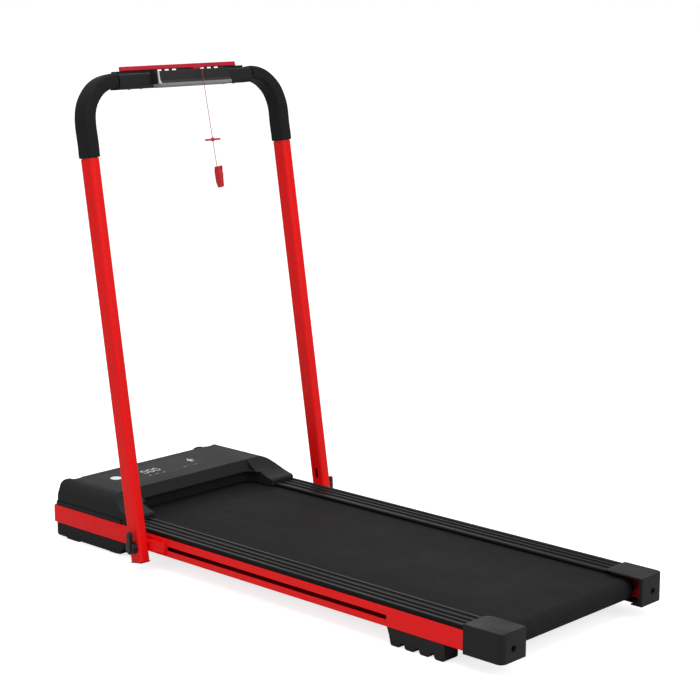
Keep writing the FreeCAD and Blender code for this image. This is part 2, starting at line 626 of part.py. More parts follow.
b = body("belly_pan")
grow(b, "y", -d.pan_half, d.pan_half, [("P", [(-d.pan_front, d.rail_low), (-d.pan_front, 7), (-d.pan_front + 4, d.pan_low), (-d.pan_rear_low, d.pan_low), (-d.pan_rear_top, d.rail_low)])])
dress(b, "Fillet", 2.4, lambda e: abs(mid(e).y) > 245.9 and mid(e).z < 33.4)
sink(b, "z", d.pan_low + d.pan_skin, d.rail_low + 1, [("R", -d.pan_front + 26, -d.pan_half + 6, -d.pan_rear_low - 6, d.pan_half - 6)])
sink(b, "z", 13, d.rail_low + 1, [("R", -d.pan_front + d.pan_skin, -d.pan_half + 3, -d.pan_rear_low, d.pan_half - 3)])
sink(b, "z", 27.5, d.rail_low + 1, [("R", -d.pan_rear_low - 10, -197, -d.pan_rear_top + 3, 197)])
sink(b, "x", -d.pan_front - 2, -d.pan_front + 14, [("R", -172.1, 13.4, -143.9, 31.1), ("R", -128.6, 14.9, -110.4, 30.1), ("C", -92, 22.5, 5.1)])

b = body("power_inlet")
grow(b, "x", -d.pan_front - 1.6, -d.pan_front, [("R", -174, 12.2, -142, 32.6)])
dress(b, "Fillet", 2, lambda e: runs(e, "x"))
grow(b, "x", -d.pan_front, -d.pan_front + 16, [("R", -172, 13.5, -144, 31)])
sink(b, "x", -d.pan_front - 3, -d.pan_front + 12, [("P", [(-168, 16), (-148, 16), (-148, 25), (-152, 29), (-164, 29), (-168, 25)])])
for py, pz in ((-158, 25), (-163, 20), (-153, 20)):
    grow(b, "x", -d.pan_front + 2, -d.pan_front + 13, [("R", py - 1, pz - 2, py + 1, pz + 2)])

b = body("switch_frame")
grow(b, "x", -d.pan_front - 1.6, -d.pan_front, [("R", -131, 13.2, -108, 31.8)])
dress(b, "Fillet", 2, lambda e: runs(e, "x"))
grow(b, "x", -d.pan_front, -d.pan_front + 12, [("R", -128.5, 15, -110.5, 30)])
sink(b, "x", -d.pan_front - 3, -d.pan_front + 13, [("R", -126.5, 16.6, -112.5, 28.4)])

b = body("power_switch")
grow(b, "y", -126.2, -112.8, [("P", [(-d.pan_front + 4, 17.6), (-d.pan_front - 3.2, 17.6), (-d.pan_front - 0.6, 22.5), (-d.pan_front - 3.2, 27.4), (-d.pan_front + 4, 27.4)])])
dress(b, "Fillet", 0.8, lambda e: runs(e, "y") and mid(e).x < -d.pan_front.v - 1)
rock = FreeCAD.Rotation(V(0, 1, 0), -6)
rock_at = V(-d.pan_front.v + 3, 0, 22.5)
b.Placement = FreeCAD.Placement(rock_at - rock.multVec(rock_at), rock)

b = body("reset_button")
grow(b, "x", -d.pan_front - 5, -d.pan_front + 8, [("C", -92, 22.5, 4.9)])
dress(b, "Fillet", 1.2, lambda e: near(mid(e).x, -d.pan_front.v - 5))

# ================================================================ foot rails, end caps, feet
for side, s in SIDES:
    b = body("foot_rail_" + side)
    T = d.cover_top - 3
    I, O = d.cover_in, d.cover_out
    def Y(q):
        return s * Q.of(q)
    prof = [(Y(O), d.rail_high + 0.1), (Y(O), T), (Y(O), T + 1.6), (Y(O - 1.4), T + 3), (Y(O - 5.5), T + 3), (Y(O - 8), T),
            (Y(O - 17), T), (Y(O - 18.6), T + 2.4), (Y(O - 21.4), T + 2.4), (Y(O - 23), T), (Y(O - 33), T), (Y(O - 34.6), T + 2.4), (Y(O - 37.4), T + 2.4), (Y(O - 39), T), (Y(I + 9), T), (Y(I + 7.4), T + 2.4), (Y(I + 3), T + 2.4), (Y(I), T - 0.6),
            (Y(I), 75.4), (Y(I + 18), 75.4), (Y(I + 18), d.rail_high + 0.1)]
    grow(b, "x", -d.cover_from + 0.2, d.rail_step - 0.2, [("P", prof)])

for side, s in SIDES:
    b = body("end_cap_" + side)
    y0, y1 = two(s, d.cap_in, d.rail_out)
    grow(b, "x", d.rail_step, d.cap_rear, [("R", y0, d.cap_low, y1, d.cap_high)])
    dress(b, "Fillet", 13, lambda e: runs(e, "z") and near(mid(e).x, d.cap_rear.v) and near(mid(e).y, s * 250))
    dress(b, "Fillet", 14, lambda e: runs(e, "z") and near(mid(e).x, 545) and near(mid(e).y, s * d.cap_in.v))
    dress(b, "Fillet", 2.5, lambda e: near(mid(e).z, d.cap_high.v) or (runs(e, "z") and near(mid(e).x, d.cap_rear.v) and near(mid(e).y, s * d.cap_in.v)))
    c = d.cap_skin
    y2, y3 = two(s, d.cap_in - 1, d.rail_out - c)
    sink(b, "z", d.rail_low - 0.1, d.rail_high + 0.1, [("P", [(d.rail_step - 1, y2), (d.rail_step - 1, y3), (d.cap_rear - 8, y3), (d.cap_rear - 8, y2)])])
    y4, y5 = two(s, d.cap_in - 1, d.rail_in + 3)
    sink(b, "z", d.cap_low + 2.3, d.cap_high - c, [("R", d.rail_step - 1, y4, d.cap_rear - 8, y5)])
    y6, y7 = two(s, d.rail_in + 8, d.rail_out - 8)
    sink(b, "z", d.rail_high, d.cap_high - c, [("R", d.rail_step + 5, y6, d.cap_rear - 20, y7)])
    sink(b, "x", d.cap_rear - 10, d.cap_rear + 1, [("C", 217 * s, d.roller_z, 7)])
    y8, y9 = two(s, d.cap_in - 1, d.cap_in + 12)
    sink(b, "z", d.cap_low - 1, d.cap_low + 3, [("R", d.rail_step - 1, y8, d.cap_rear - 26, y9)])

feet = []
b = None
for side, s in SIDES:
    fb = doc.addObject("PartDesign::Body", "FootBody")
    y0, y1 = two(s, d.rail_out - d.foot_wide, d.rail_out - 0.6)
    lobes = [(d.foot_from, d.rail_low - 0.05), (365, 20), (369.5, 2), (372, 0)]
    for n in range(4):
        x0 = 372 + n * 36.4
        lobes += [(x0 + 17, 0), (x0 + 20, 2)]
        if n < 3:
            lobes += [(x0 + 23, 9.5), (x0 + 30, 10.4), (x0 + 33.2, 2.4), (x0 + 36.4, 0)]
    lobes += [(502.5, 6), (502.5, 15), (d.foot_to, d.rail_low - 0.05)]
    clean = []
    for p in lobes:
        if not clean or math.hypot(Q.of(p[0]).v - Q.of(clean[-1][0]).v, Q.of(p[1]).v - Q.of(clean[-1][1]).v) > 0.2:
            clean.append(p)
    grow(fb, "y", y0, y1, [("P", clean)])
    feet.append(fb)
group(feet, "rear_feet")

ff = []
for s in (-1, 1):
    a, c = two(s, 205, 244)
    ff.append(rounded(box(-607, -560, a, c, 0, d.pan_low), 6, lambda e: runs(e, "z")))
    a, c = two(s, 205, 240)
    ff.append(rounded(box(-464, -434, a, c, 0, d.pan_low), 6, lambda e: runs(e, "z")))
group(ff, "front_feet")

# ================================================================ transport wheels
brk = []
for s in (-1, 1):
    a, c = two(s, d.beam_half + 0.1, d.rail_in - 0.1)
    base = box(-d.rail_front, -d.rail_front + d.beam_deep, a, c, d.rail_low, 50)
    ears = []
    for lo, hi in ((d.beam_half + 0.1, d.beam_half + 2.6), (d.rail_in - 2.6, d.rail_in - 0.1)):
        p, q = two(s, lo, hi)
        ears.append(fuse([box(-d.wheel_x - 9, -d.rail_front + d.beam_deep, p, q, d.rail_low, d.wheel_z), cyl("y", -d.wheel_x, d.wheel_z, p, q, 9)]))
    shell = fuse([base] + ears)
    brk.append(cut(shell, cyl("y", -d.wheel_x, d.wheel_z, a - 1, c + 1, d.wheel_bore)))
group(brk, "wheel_brackets")
group([cyl("y", -d.wheel_x, d.wheel_z, *two(s, d.beam_half + 0.3, d.rail_in - 0.3), 4) for s in (-1, 1)], "wheel_axles")
for side, s in SIDES:
    b = body("transport_wheel_" + side)
    y0, y1 = two(s, d.wheel_in, d.wheel_out)
    grow(b, "y", y0, y1, [("C", -d.wheel_x, d.wheel_z, d.wheel_rad)])
    dress(b, "Fillet", 3.5, lambda e: True)
    for lo, hi in ((d.wheel_in - 1, d.wheel_in + 4), (d.wheel_out - 4, d.wheel_out + 1)):
        p, q = two(s, lo, hi)
        sink(b, "y", p, q, [("C", -d.wheel_x, d.wheel_z, 24), ("C", -d.wheel_x, d.wheel_z, 9)])
    sink(b, "y", y0 - 1, y1 + 1, [("C", -d.wheel_x, d.wheel_z, d.wheel_bore)])

# ================================================================ handrail, in its own upright frame
LEAN = FreeCAD.Rotation(V(0, 1, 0), -d.lean.v)
PIVOT = (-d.pivot_x, 0, d.pivot_z)


def lean(o):
    place(o, *PIVOT, rot=LEAN)
    return o


def rrect_body(b, cy, deep, wide, r, z0, z1):
    grow(b, "z", z0, z1, [("R", -deep / 2, cy - wide / 2, deep / 2, cy + wide / 2)])
    dress(b, "Fillet", r, lambda e: runs(e, "z"))


for side, s in SIDES:
    b = body("upright_" + side)
    cy = s * d.tube_y
    rrect_body(b, cy, d.tube_deep, d.tube_wide, d.tube_round, -d.tube_bottom, d.tube_top)
    k = d.tube_skin
    sink(b, "z", -d.tube_bottom - 1, d.tube_top + 1, [("P", [
        (-d.tube_deep / 2 + k, cy - d.tube_wide / 2 + k + 3), (-d.tube_deep / 2 + k + 3, cy - d.tube_wide / 2 + k),
        (d.tube_deep / 2 - k - 3, cy - d.tube_wide / 2 + k), (d.tube_deep / 2 - k, cy - d.tube_wide / 2 + k + 3),
        (d.tube_deep / 2 - k, cy + d.tube_wide / 2 - k - 3), (d.tube_deep / 2 - k - 3, cy + d.tube_wide / 2 - k),
        (-d.tube_deep / 2 + k + 3, cy + d.tube_wide / 2 - k), (-d.tube_deep / 2 + k, cy + d.tube_wide / 2 - k - 3)])])
    sink(b, "y", cy - 20, cy + 20, [("C", 0, 0, d.bush_rad + 0.02)])
    a, c = two(s, d.tube_y - 14, d.tube_y - 8)
    sink(b, "y", a, c, [("P", [(-4.5, 44), ("A", 0, 39.5, 4.5, 44), (4.5, 58), ("A", 0, 62.5, -4.5, 58)])])
    lean(b)

b = body("crossbar_tube")
sp = sketch(b, "BarSpine", "YZ_Plane")
R, Z, W = d.bend_rad, d.bar_z, d.tube_y
c45 = math.cos(math.pi / 4)


def spine(s, y_stop_left, y_stop_right, z_left, z_right):
    pts = []
    if z_left is not None:
        pts += [(-W, z_left), (-W, Z - R), ("A", -(W - R + R * c45), Z - R + R * c45, -(W - R), Z)]
    else:
        pts += [(y_stop_left, Z)]
    if z_right is not None:
        pts += [(W - R, Z), ("A", W - R + R * c45, Z - R + R * c45, W, Z - R), (W, z_right)]
    else:
        pts += [(y_stop_right, Z)]
    loop(s, pts, closed=False)


def bar_section(s, cy, deep, wide, r):
    hx, hy = deep / 2, wide / 2
    q = r * (1 - c45)
    loop(s, [("A", -hx + q, cy - hy + q, -hx + r, cy - hy), (hx - r, cy - hy), ("A", hx - q, cy - hy + q, hx, cy - hy + r), (hx, cy + hy - r), ("A", hx - q, cy + hy - q, hx - r, cy + hy),
             (-hx + r, cy + hy), ("A", -hx + q, cy + hy - q, -hx, cy + hy - r), (-hx, cy - hy + r)])


def pipe(b, sp, z0, cy, deep, wide, r, kind="Additive"):
    NUM[0] += 1
    s = sketch(b, "Sect%d" % NUM[0], "XY_Plane", z0)
    bar_section(s, cy, Q.of(deep), Q.of(wide), Q.of(r))
    doc.recompute()
    before = b.Shape.Volume if b.Shape and not b.Shape.isNull() else 0
    p = b.newObject("PartDesign::%sPipe" % kind, "Pipe%d" % NUM[0])
    p.Profile = s
    p.Spine = (sp, ["Edge%d" % (i + 1) for i in range(len(sp.Shape.Edges))])
    doc.recompute()
    if kind == "Subtractive" and not b.Shape.Volume < before - 1:
        raise RuntimeError("pipe cut nothing on " + b.Label)
    return p


spine(sp, None, None, d.bar_foot, d.bar_foot)
doc.recompute()
pipe(b, sp, d.bar_foot, -W, d.bar_deep, d.bar_wide, 4.4)
pipe(b, sp, d.bar_foot, -W, d.bar_deep - 3, d.bar_wide - 3, 3, "Subtractive")
lean(b)

grips = []
for side, s in SIDES:
    gb = doc.addObject("PartDesign::Body", "GripBody")
    gs = sketch(gb, "GripSpine", "YZ_Plane")
    if s < 0:
        loop(gs, [(-W, d.foam_low), (-W, Z - R), ("A", -(W - R + R * c45), Z - R + R * c45, -(W - R), Z), (-d.foam_end, Z)], closed=False)
    else:
        loop(gs, [(W, d.foam_low), (W, Z - R), ("A", W - R + R * c45, Z - R + R * c45, W - R, Z), (d.foam_end, Z)], closed=False)
    doc.recompute()
    pipe(gb, gs, d.foam_low, s * W, d.foam_deep, d.foam_wide, 6.8)
    pipe(gb, gs, d.foam_low, s * W, d.bar_deep + 0.1, d.bar_wide + 0.1, 4.4, "Subtractive")
    grips.append(lean(gb))
group(grips, "foam_grips")

bushes, plugs = [], []
for s in (-1, 1):
    a, c = two(s, d.tube_y - d.tube_wide / 2 + 0.1, d.tube_y + d.tube_wide / 2 - 0.1)
    bushes.append(cut(cyl("y", -d.pivot_x, d.pivot_z, a, c, d.bush_rad), cyl("y", -d.pivot_x, d.pivot_z, a - 1, c + 1, d.stud_rad + d.run_gap)))
    pb = doc.addObject("PartDesign::Body", "PlugBody")
    cy = s * d.tube_y
    grow(pb, "z", -d.tube_bottom - 2, -d.tube_bottom - 0.05, [("R", -d.tube_deep / 2 + 0.6, cy - d.tube_wide / 2 + 0.6, d.tube_deep / 2 - 0.6, cy + d.tube_wide / 2 - 0.6)])
    grow(pb, "z", -d.tube_bottom - 1, -d.tube_bottom + 12, [("R", -12, cy - 7, 12, cy + 7)])
    plugs.append(lean(pb))
group(bushes, "pivot_bushes")
group(plugs, "upright_plugs")

# tray base: a moulded clamp round the middle of the crossbar
b = body("tray_base")
hb, hw = d.bar_deep / 2 + 0.1, d.bar_wide / 2 + 0.1
grow(b, "y", -d.tray_half, d.tray_half, [("P", [(-19, Z - 12), (-12, Z - 19), (14, Z - 20), (21, Z - 14), (21, Z + 4), (20, Z + 9.2), (16.5, Z + 12.2), (-16.5, Z + 12.2), (-19.4, Z + 9)]), ("R", -hb, Z - hw, hb, Z + hw)])
lean(b)

b = body("console_housing")
F, CH, CL = d.console_face, d.console_high, d.console_low
grow(b, "y", -d.console_half, d.console_half, [("P", [(21.2, CH), (F - 6, CH), (F - 5, CH - 1), (F - 5, CL + 14), (F, CL + 8), (F, CL + 3), (F - 3, CL), (26, CL), (21.2, CL + 6)])])
dress(b, "Fillet", 0.9, lambda e: abs(mid(e).y) > 101.4 and mid(e).x > 22)
sink(b, "y", -d.console_half + 3, d.console_half - 3, [("R", 23.5, CL + 8, F - 8, CH - 3)])
sink(b, "z", CH - 8, CH + 1, [("R", 26, d.key_y - 7.1, 36, d.key_y + 7.1)])
lean(b)

# ledge on the tray base: a comb along its front edge whose gaps, closed by the
# strip behind, read as windows, and two posts at the back that carry the strip
b = body("tray_frame")
grow(b, "z", Z + 12.25, 985.1, [("P", [(-8, -187), (-4, -187), (-4, -101), (25.3, -101), (25.3, 101), (-4, 101), (-4, 187), (-8, 187)])])
grow(b, "z", 985, 988.5, [("R", 22, -101, 25.3, 101)])
for s, near_y in ((-1, 72), (1, 122)):
    grow(b, "x", -8, -4, [("P", [(s * near_y, 985), (s * 187, 985), (s * 187, d.strip_low - 0.05), (s * near_y, d.strip_low - 0.05)])])
    for y0 in (40, 60.5, 81):
        sink(b, "x", 21, 27, [("R", s * y0 - 6.8, 985.1, s * y0 + 6.8, 990)])
lean(b)

b = body("tray_strip")
grow(b, "y", -d.strip_half, d.strip_half, [("P", [(-9, d.strip_low), (-3, d.strip_low), (-2, d.strip_low + 1), (-2.8, d.strip_high - 1), (-4, d.strip_high), (-7.6, d.strip_high), (-9, d.strip_high - 1.4)])])
lean(b)

# lock knobs
for side, s in SIDES:
    b = body("lock_knob_" + side)
    k0 = d.tube_y + d.tube_wide / 2 + 0.3
    a, c = two(s, k0, k0 + 13)
    grow(b, "y", a, c, [("C", -d.pivot_x, d.pivot_z, d.knob_rad)])
    a, c = two(s, k0 + 8, k0 + 17)
    px, pz = -d.pivot_x, d.pivot_z
    grow(b, "y", a, c, [("P", [(px - 5, pz - 7), ("A", px, pz - 10, px + 5, pz - 7), (px + 6.5, pz + 2), (px + 5, pz + 33), ("A", px, pz + 37, px - 5, pz + 33), (px - 6.5, pz + 2)])])
    dress(b, "Fillet", 2, lambda e: near(abs(mid(e).y), 307.2, 0.1))
    a, c = two(s, k0 - 1, k0 + 13)
    sink(b, "y", a, c, [("C", px, pz, d.stud_rad + d.run_gap)])

# ================================================================ safety key, lanyard and clip
KZ = 983.6
key_y = d.key_y
kb = body("safety_key")
grow(kb, "z", KZ - 7.5, KZ + 2, [("R", 26.4, key_y - 6.6, 35.6, key_y + 6.6)])
grow(kb, "z", KZ + 2, KZ + 5.4, [("R", 25.6, key_y - 10, 39.2, key_y + 10)])
dress(kb, "Fillet", 2, lambda e: runs(e, "z") and mid(e).z > KZ + 2)
grow(kb, "z", KZ + 5.2, KZ + 6.2, [("R", 35.6, key_y - 2.2, 39.2, key_y + 2.2)])
lean(kb)

# the cord runs from the key over the console's edge and hangs 12 degrees off plumb
TILT = math.radians(12)
ca, sa = math.cos(math.radians(d.lean.v)), math.sin(math.radians(d.lean.v))


def world(xl, zl):
    return (-d.pivot_x.v + xl * ca - zl * sa, d.pivot_z.v + xl * sa + zl * ca)


ex, ez = world(37.6, KZ + 7.8)
hx, hz = world(51.5, KZ - 2)
cord = doc.addObject("Part::Feature", "lanyard_cord")
L = d.clip_drop.v
tipx, tipz = hx + L * math.sin(TILT), hz - L * math.cos(TILT)
KY = key_y.v
p0, p1, p2 = V(ex, KY, ez), V(hx, KY, hz), V(tipx, KY, tipz)
drop = (p2 - p1).normalize()
side_n = V(-drop.z, 0, drop.x)
if (p0 - p1).dot(side_n) < 0:
    side_n = side_n * -1
bend = (p0 - p1).dot(p0 - p1) / (2 * (p0 - p1).dot(side_n))
centre = p1 + side_n * bend
pm = centre + ((p0 - centre) + (p1 - centre)).normalize() * bend
edge = Part.Arc(p0, pm, p1).toShape()
path = Part.Wire([edge, Part.LineSegment(p1, p2).toShape()])
ring = Part.Wire([Part.Circle(p0, edge.tangentAt(edge.FirstParameter), 0.9).toShape()])
cord.Shape = path.makePipeShell([ring], True, True)
keep(cord, "lanyard_cord")


def hang(o, dist, dy=0.0, tw=0.0):
    """Place a piece drawn with its top at the origin and hanging along -Z, dist down the cord."""
    r = FreeCAD.Rotation(V(0, 1, 0), -12)
    r = r.multiply(FreeCAD.Rotation(V(0, 0, 1), tw))
    o.Placement = FreeCAD.Placement(V(hx + dist * math.sin(TILT), KY + dy, hz - dist * math.cos(TILT)), r)
    return o


tb = doc.addObject("PartDesign::Body", "lanyard_toggle")
grow(tb, "y", -22, 22, [("C", 0, 0, 2.2)])
dress(tb, "Fillet", 1.8, lambda e: True)
grow(tb, "z", -4, 4, [("C", 0, 0, 3.4)])
sink(tb, "z", -6, 6, [("C", 0, 0, 1.0)])
keep(hang(tb, 151.5), "lanyard_toggle")

cb = doc.addObject("PartDesign::Body", "clip_body")
grow(cb, "x", -2.4, 2.4, [("P", [(-6, 0), (6, 0), (9, -10), (9, -34), (5, -46), (-5, -46), (-9, -34), (-9, -10)])])
dress(cb, "Fillet", 1.6, lambda e: near(abs(mid(e).x), 2.4))
for s in (-1, 1):
    grow(cb, "x", 2.3, 7.4, [("P", [(s * 6.5, -14), (s * 6.5, -22), (s * 8.6, -22), (s * 8.6, -14)])])
sink(cb, "y", -10, 10, [("C", 5.1, -18, 1.3)])
keep(hang(cb, L + 1.0, 0, 90), "clip_body")
jb = doc.addObject("PartDesign::Body", "clip_jaw")
grow(jb, "y", -6, 6, [("P", [(3.0, -20.5), (5.2, -24), (3.3, -40), (3.3, -46), (6.6, -44), (8.4, -24), (8.0, -16), (10.8, 0), (8.2, 0.6), (5.2, -10), (3.1, -16)])])
dress(jb, "Fillet", 0.8, lambda e: runs(e, "y") and (mid(e).z > -1 or mid(e).z < -40))
sink(jb, "y", -7, 7, [("C", 5.1, -18, 1.35)])
keep(hang(jb, L + 1.0, 0, 90), "clip_jaw")
cp = doc.addObject("PartDesign::Body", "clip_pin")
grow(cp, "y", -9, 9, [("C", 5.1, -18, 1.25)])
keep(hang(cp, L + 1.0, 0, 90), "clip_pin")

# ================================================================ checks and export
# The pieces are drawn about the middle of the side rails; the finished frame's
# origin is the middle of the overall length, so every piece moves by this much.
doc.recompute()
shift = (d.wheel_x + d.wheel_rad - d.cap_rear) / 2
for o in OUT:
    had = {k.lstrip("."): e for k, e in o.ExpressionEngine}.get("Placement.Base.x")
    o.setExpression("Placement.Base.x", "(%s) + %s" % (had or repr(o.Placement.Base.x), shift.e))
doc.recompute()
bad = [o.Name for o in doc.Objects if any(w in ("Invalid", "Error") for w in o.State)]
if bad:
    sys.exit("failed objects: " + ", ".join(bad))
names = [o.Label for o in OUT]
if len(set(names)) != len(names) or len(names) > 60:
    sys.exit("labels repeat or too many: %d" % len(names))
for o in OUT:
    sh = o.Shape
    if sh.isNull() or not sh.isValid() or not sh.Solids or sh.Volume <= 0:
        sys.exit("bad shape: " + o.Label)
for o in OUT:
    o.Shape.exportStep("parts/%s.step" % o.Label)
print(len(OUT), "nodes")
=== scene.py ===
import json
import math
import random

import bmesh
import bpy
from mathutils import Matrix, Vector


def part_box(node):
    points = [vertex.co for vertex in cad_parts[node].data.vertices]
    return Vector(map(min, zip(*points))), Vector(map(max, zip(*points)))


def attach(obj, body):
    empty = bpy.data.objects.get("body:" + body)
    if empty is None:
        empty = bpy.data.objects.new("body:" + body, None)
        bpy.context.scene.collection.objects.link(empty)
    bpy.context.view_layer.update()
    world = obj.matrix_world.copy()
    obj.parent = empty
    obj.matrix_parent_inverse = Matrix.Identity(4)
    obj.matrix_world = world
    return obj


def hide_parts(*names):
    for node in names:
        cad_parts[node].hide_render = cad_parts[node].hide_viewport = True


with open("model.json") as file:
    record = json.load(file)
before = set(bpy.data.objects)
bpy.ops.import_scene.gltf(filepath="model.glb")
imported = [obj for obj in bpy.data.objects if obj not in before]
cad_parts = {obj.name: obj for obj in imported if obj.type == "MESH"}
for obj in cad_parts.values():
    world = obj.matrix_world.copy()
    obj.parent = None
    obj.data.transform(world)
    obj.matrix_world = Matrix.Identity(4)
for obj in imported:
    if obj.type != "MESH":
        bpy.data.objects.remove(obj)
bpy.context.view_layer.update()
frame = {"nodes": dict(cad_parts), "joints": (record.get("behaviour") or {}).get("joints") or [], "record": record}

random.seed(7)
scene = bpy.context.scene
NODES = frame["nodes"]
MM = 0.001
JOINT_AT = {j["name"]: Vector(j["pos_m"]) for j in frame["joints"] if "pos_m" in j}
PIVOT = JOINT_AT["handrail_fold"]


def lin(r, g, b):
    """Linear colour of an sRGB triple given 0 to 255."""
    out = []
    for v in (r, g, b):
        v /= 255.0
        out.append(v / 12.92 if v <= 0.04045 else ((v + 0.055) / 1.055) ** 2.4)
    return tuple(out)


# ------------------------------------------------------------------ materials
class Tree:
    def __init__(self, name):
        self.mat = bpy.data.materials.new(name)
        self.mat.use_nodes = True
        self.nt = self.mat.node_tree
        self.nt.nodes.clear()
        self.out = self.new("ShaderNodeOutputMaterial")
        self.bsdf = self.new("ShaderNodeBsdfPrincipled")
        self.link(self.bsdf.outputs[0], self.out.inputs[0])
        self.obj = self.new("ShaderNodeTexCoord").outputs["Object"]
        geo = self.new("ShaderNodeNewGeometry")
        self.normal = geo.outputs["Normal"]
        self.top = self.sep(self.normal)[2]

    def new(self, kind, **props):
        n = self.nt.nodes.new(kind)
        for k, v in props.items():
            setattr(n, k, v)
        return n

    def link(self, a, b):
        self.nt.links.new(a, b)

    def put(self, socket, v):
        if isinstance(v, bpy.types.NodeSocket):
            self.link(v, socket)
        elif isinstance(v, (tuple, list)) and len(v) == 3 and socket.type == "RGBA":
            socket.default_value = (*v, 1.0)
        else:
            socket.default_value = v

    def sep(self, v):
        n = self.new("ShaderNodeSeparateXYZ")
        self.put(n.inputs[0], v)
        return n.outputs

    def join(self, x, y, z):
        n = self.new("ShaderNodeCombineXYZ")
        for i, v in enumerate((x, y, z)):
            self.put(n.inputs[i], v)
        return n.outputs[0]

    def math(self, op, a, b=0.0, c=0.0, clamp=False):
        n = self.new("ShaderNodeMath", operation=op, use_clamp=clamp)
        for i, v in enumerate((a, b, c)):
            self.put(n.inputs[i], v)
        return n.outputs[0]

    def vscale(self, s):
        """Object coordinates stretched by s along each axis."""
        n = self.new("ShaderNodeVectorMath", operation="MULTIPLY")
        self.put(n.inputs[0], self.obj)
        n.inputs[1].default_value = s
        return n.outputs[0]

    def noise(self, scale, detail=3.0, rough=0.55, vec=None, dist=0.0):
        n = self.new("ShaderNodeTexNoise")
        self.put(n.inputs["Vector"], vec if vec is not None else self.obj)
        n.inputs["Scale"].default_value = scale
        n.inputs["Detail"].default_value = detail
        n.inputs["Roughness"].default_value = rough
        n.inputs["Distortion"].default_value = dist
        return n.outputs["Fac"]

    def cells(self, scale, feature="F1", vec=None, rnd=1.0):
        n = self.new("ShaderNodeTexVoronoi", feature=feature)
        self.put(n.inputs["Vector"], vec if vec is not None else self.obj)
        n.inputs["Scale"].default_value = scale
        n.inputs["Randomness"].default_value = rnd
        return n.outputs["Distance"]

    def ramp(self, fac, lo, hi, a=0.0, b=1.0):
        n = self.new("ShaderNodeMapRange", interpolation_type="SMOOTHSTEP")
        self.put(n.inputs[0], fac)
        n.inputs[1].default_value = lo
        n.inputs[2].default_value = hi
        n.inputs[3].default_value = a
        n.inputs[4].default_value = b
        return n.outputs[0]

    def mix(self, fac, a, b):
        n = self.new("ShaderNodeMix", data_type="RGBA")
        self.put(n.inputs[0], fac)
        self.put(n.inputs[6], a)
        self.put(n.inputs[7], b)
        return n.outputs[2]

    def bump(self, height, dist, strength=1.0, normal=None):
        n = self.new("ShaderNodeBump")
        n.inputs["Strength"].default_value = strength
        n.inputs["Distance"].default_value = dist
        self.put(n.inputs["Height"], height)
        if normal is not None:
            self.put(n.inputs["Normal"], normal)
        return n.outputs[0]

    def edge(self, radius):
        """Rounded normal and a mask that is high on convex edges."""
        bv = self.new("ShaderNodeBevel", samples=3)
        bv.inputs["Radius"].default_value = radius
        d = self.new("ShaderNodeVectorMath", operation="DOT_PRODUCT")
        self.link(bv.outputs[0], d.inputs[0])
        self.link(self.normal, d.inputs[1])
        return bv.outputs[0], self.ramp(self.math("SUBTRACT", 1.0, d.outputs["Value"]), 0.03, 0.3)


def shade(value, k):
    return tuple(min(1.0, c * k) for c in value)


def surface(name, col, rough, *, var=0.08, big=5.0, small=60.0, metallic=0.0, coat=0.0, coat_rough=0.08, spec=0.5,
            grain=(), round_mm=0.5, worn=None, worn_amt=0.35, dust=None, rough_var=0.08, sheen=0.0, extra=None):
    """Procedural surface: two-scale colour variation, roughness variation, stacked bump, edge rounding and edge wear."""
    t = Tree(name)
    blend = t.math("ADD", t.math("MULTIPLY", t.noise(big, 3), 0.6), t.math("MULTIPLY", t.noise(small, 4), 0.4))
    c = t.mix(t.ramp(blend, 0.3, 0.7), shade(col, 1 - var), shade(col, 1 + var))
    rounded, rim = t.edge(round_mm * MM)
    if dust is not None:
        m = t.math("MULTIPLY", t.ramp(t.top, 0.3, 0.95), t.ramp(t.noise(14, 5, 0.65), 0.35, 0.75))
        c = t.mix(t.math("MULTIPLY", m, dust[1]), c, dust[0])
    if worn is not None:
        chips = t.math("MULTIPLY", rim, t.ramp(t.noise(220, 5, 0.7), 0.35, 0.62), clamp=True)
        c = t.mix(t.math("MULTIPLY", chips, worn_amt), c, worn)
    r = t.math("ADD", rough - rough_var / 2, t.math("MULTIPLY", t.noise(35, 5, 0.6), rough_var), clamp=True)
    normal = rounded
    for kind, scale, dist in grain:
        if kind == "noise":
            h = t.noise(scale, 3, 0.6)
        elif kind == "peel":
            h = t.noise(scale, 1.5, 0.4)
        elif kind == "pore":
            h = t.cells(scale)
        elif kind == "leather":
            h = t.cells(scale, "SMOOTH_F1")
        elif kind == "drawx":
            h = t.noise(1.0, 3, 0.6, vec=t.vscale((scale * 0.02, scale, scale)))
        elif kind == "drawy":
            h = t.noise(1.0, 3, 0.6, vec=t.vscale((scale, scale * 0.02, scale)))
        elif kind == "drawz":
            h = t.noise(1.0, 3, 0.6, vec=t.vscale((scale, scale, scale * 0.02)))
        normal = t.bump(h, dist * MM, 1.0, normal)
    b = t.bsdf.inputs
    t.put(b["Base Color"], c)
    t.put(b["Roughness"], r)
    t.put(b["Metallic"], metallic)
    t.put(b["Normal"], normal)
    t.put(b["Specular IOR Level"], spec)
    if coat:
        t.put(b["Coat Weight"], coat)
        t.put(b["Coat Roughness"], coat_rough)
        t.put(b["Coat Normal"], rounded)
    if sheen:
        t.put(b["Sheen Weight"], sheen)
        t.put(b["Sheen Roughness"], 0.5)
    if extra:
        extra(t, c, normal)
    return t.mat


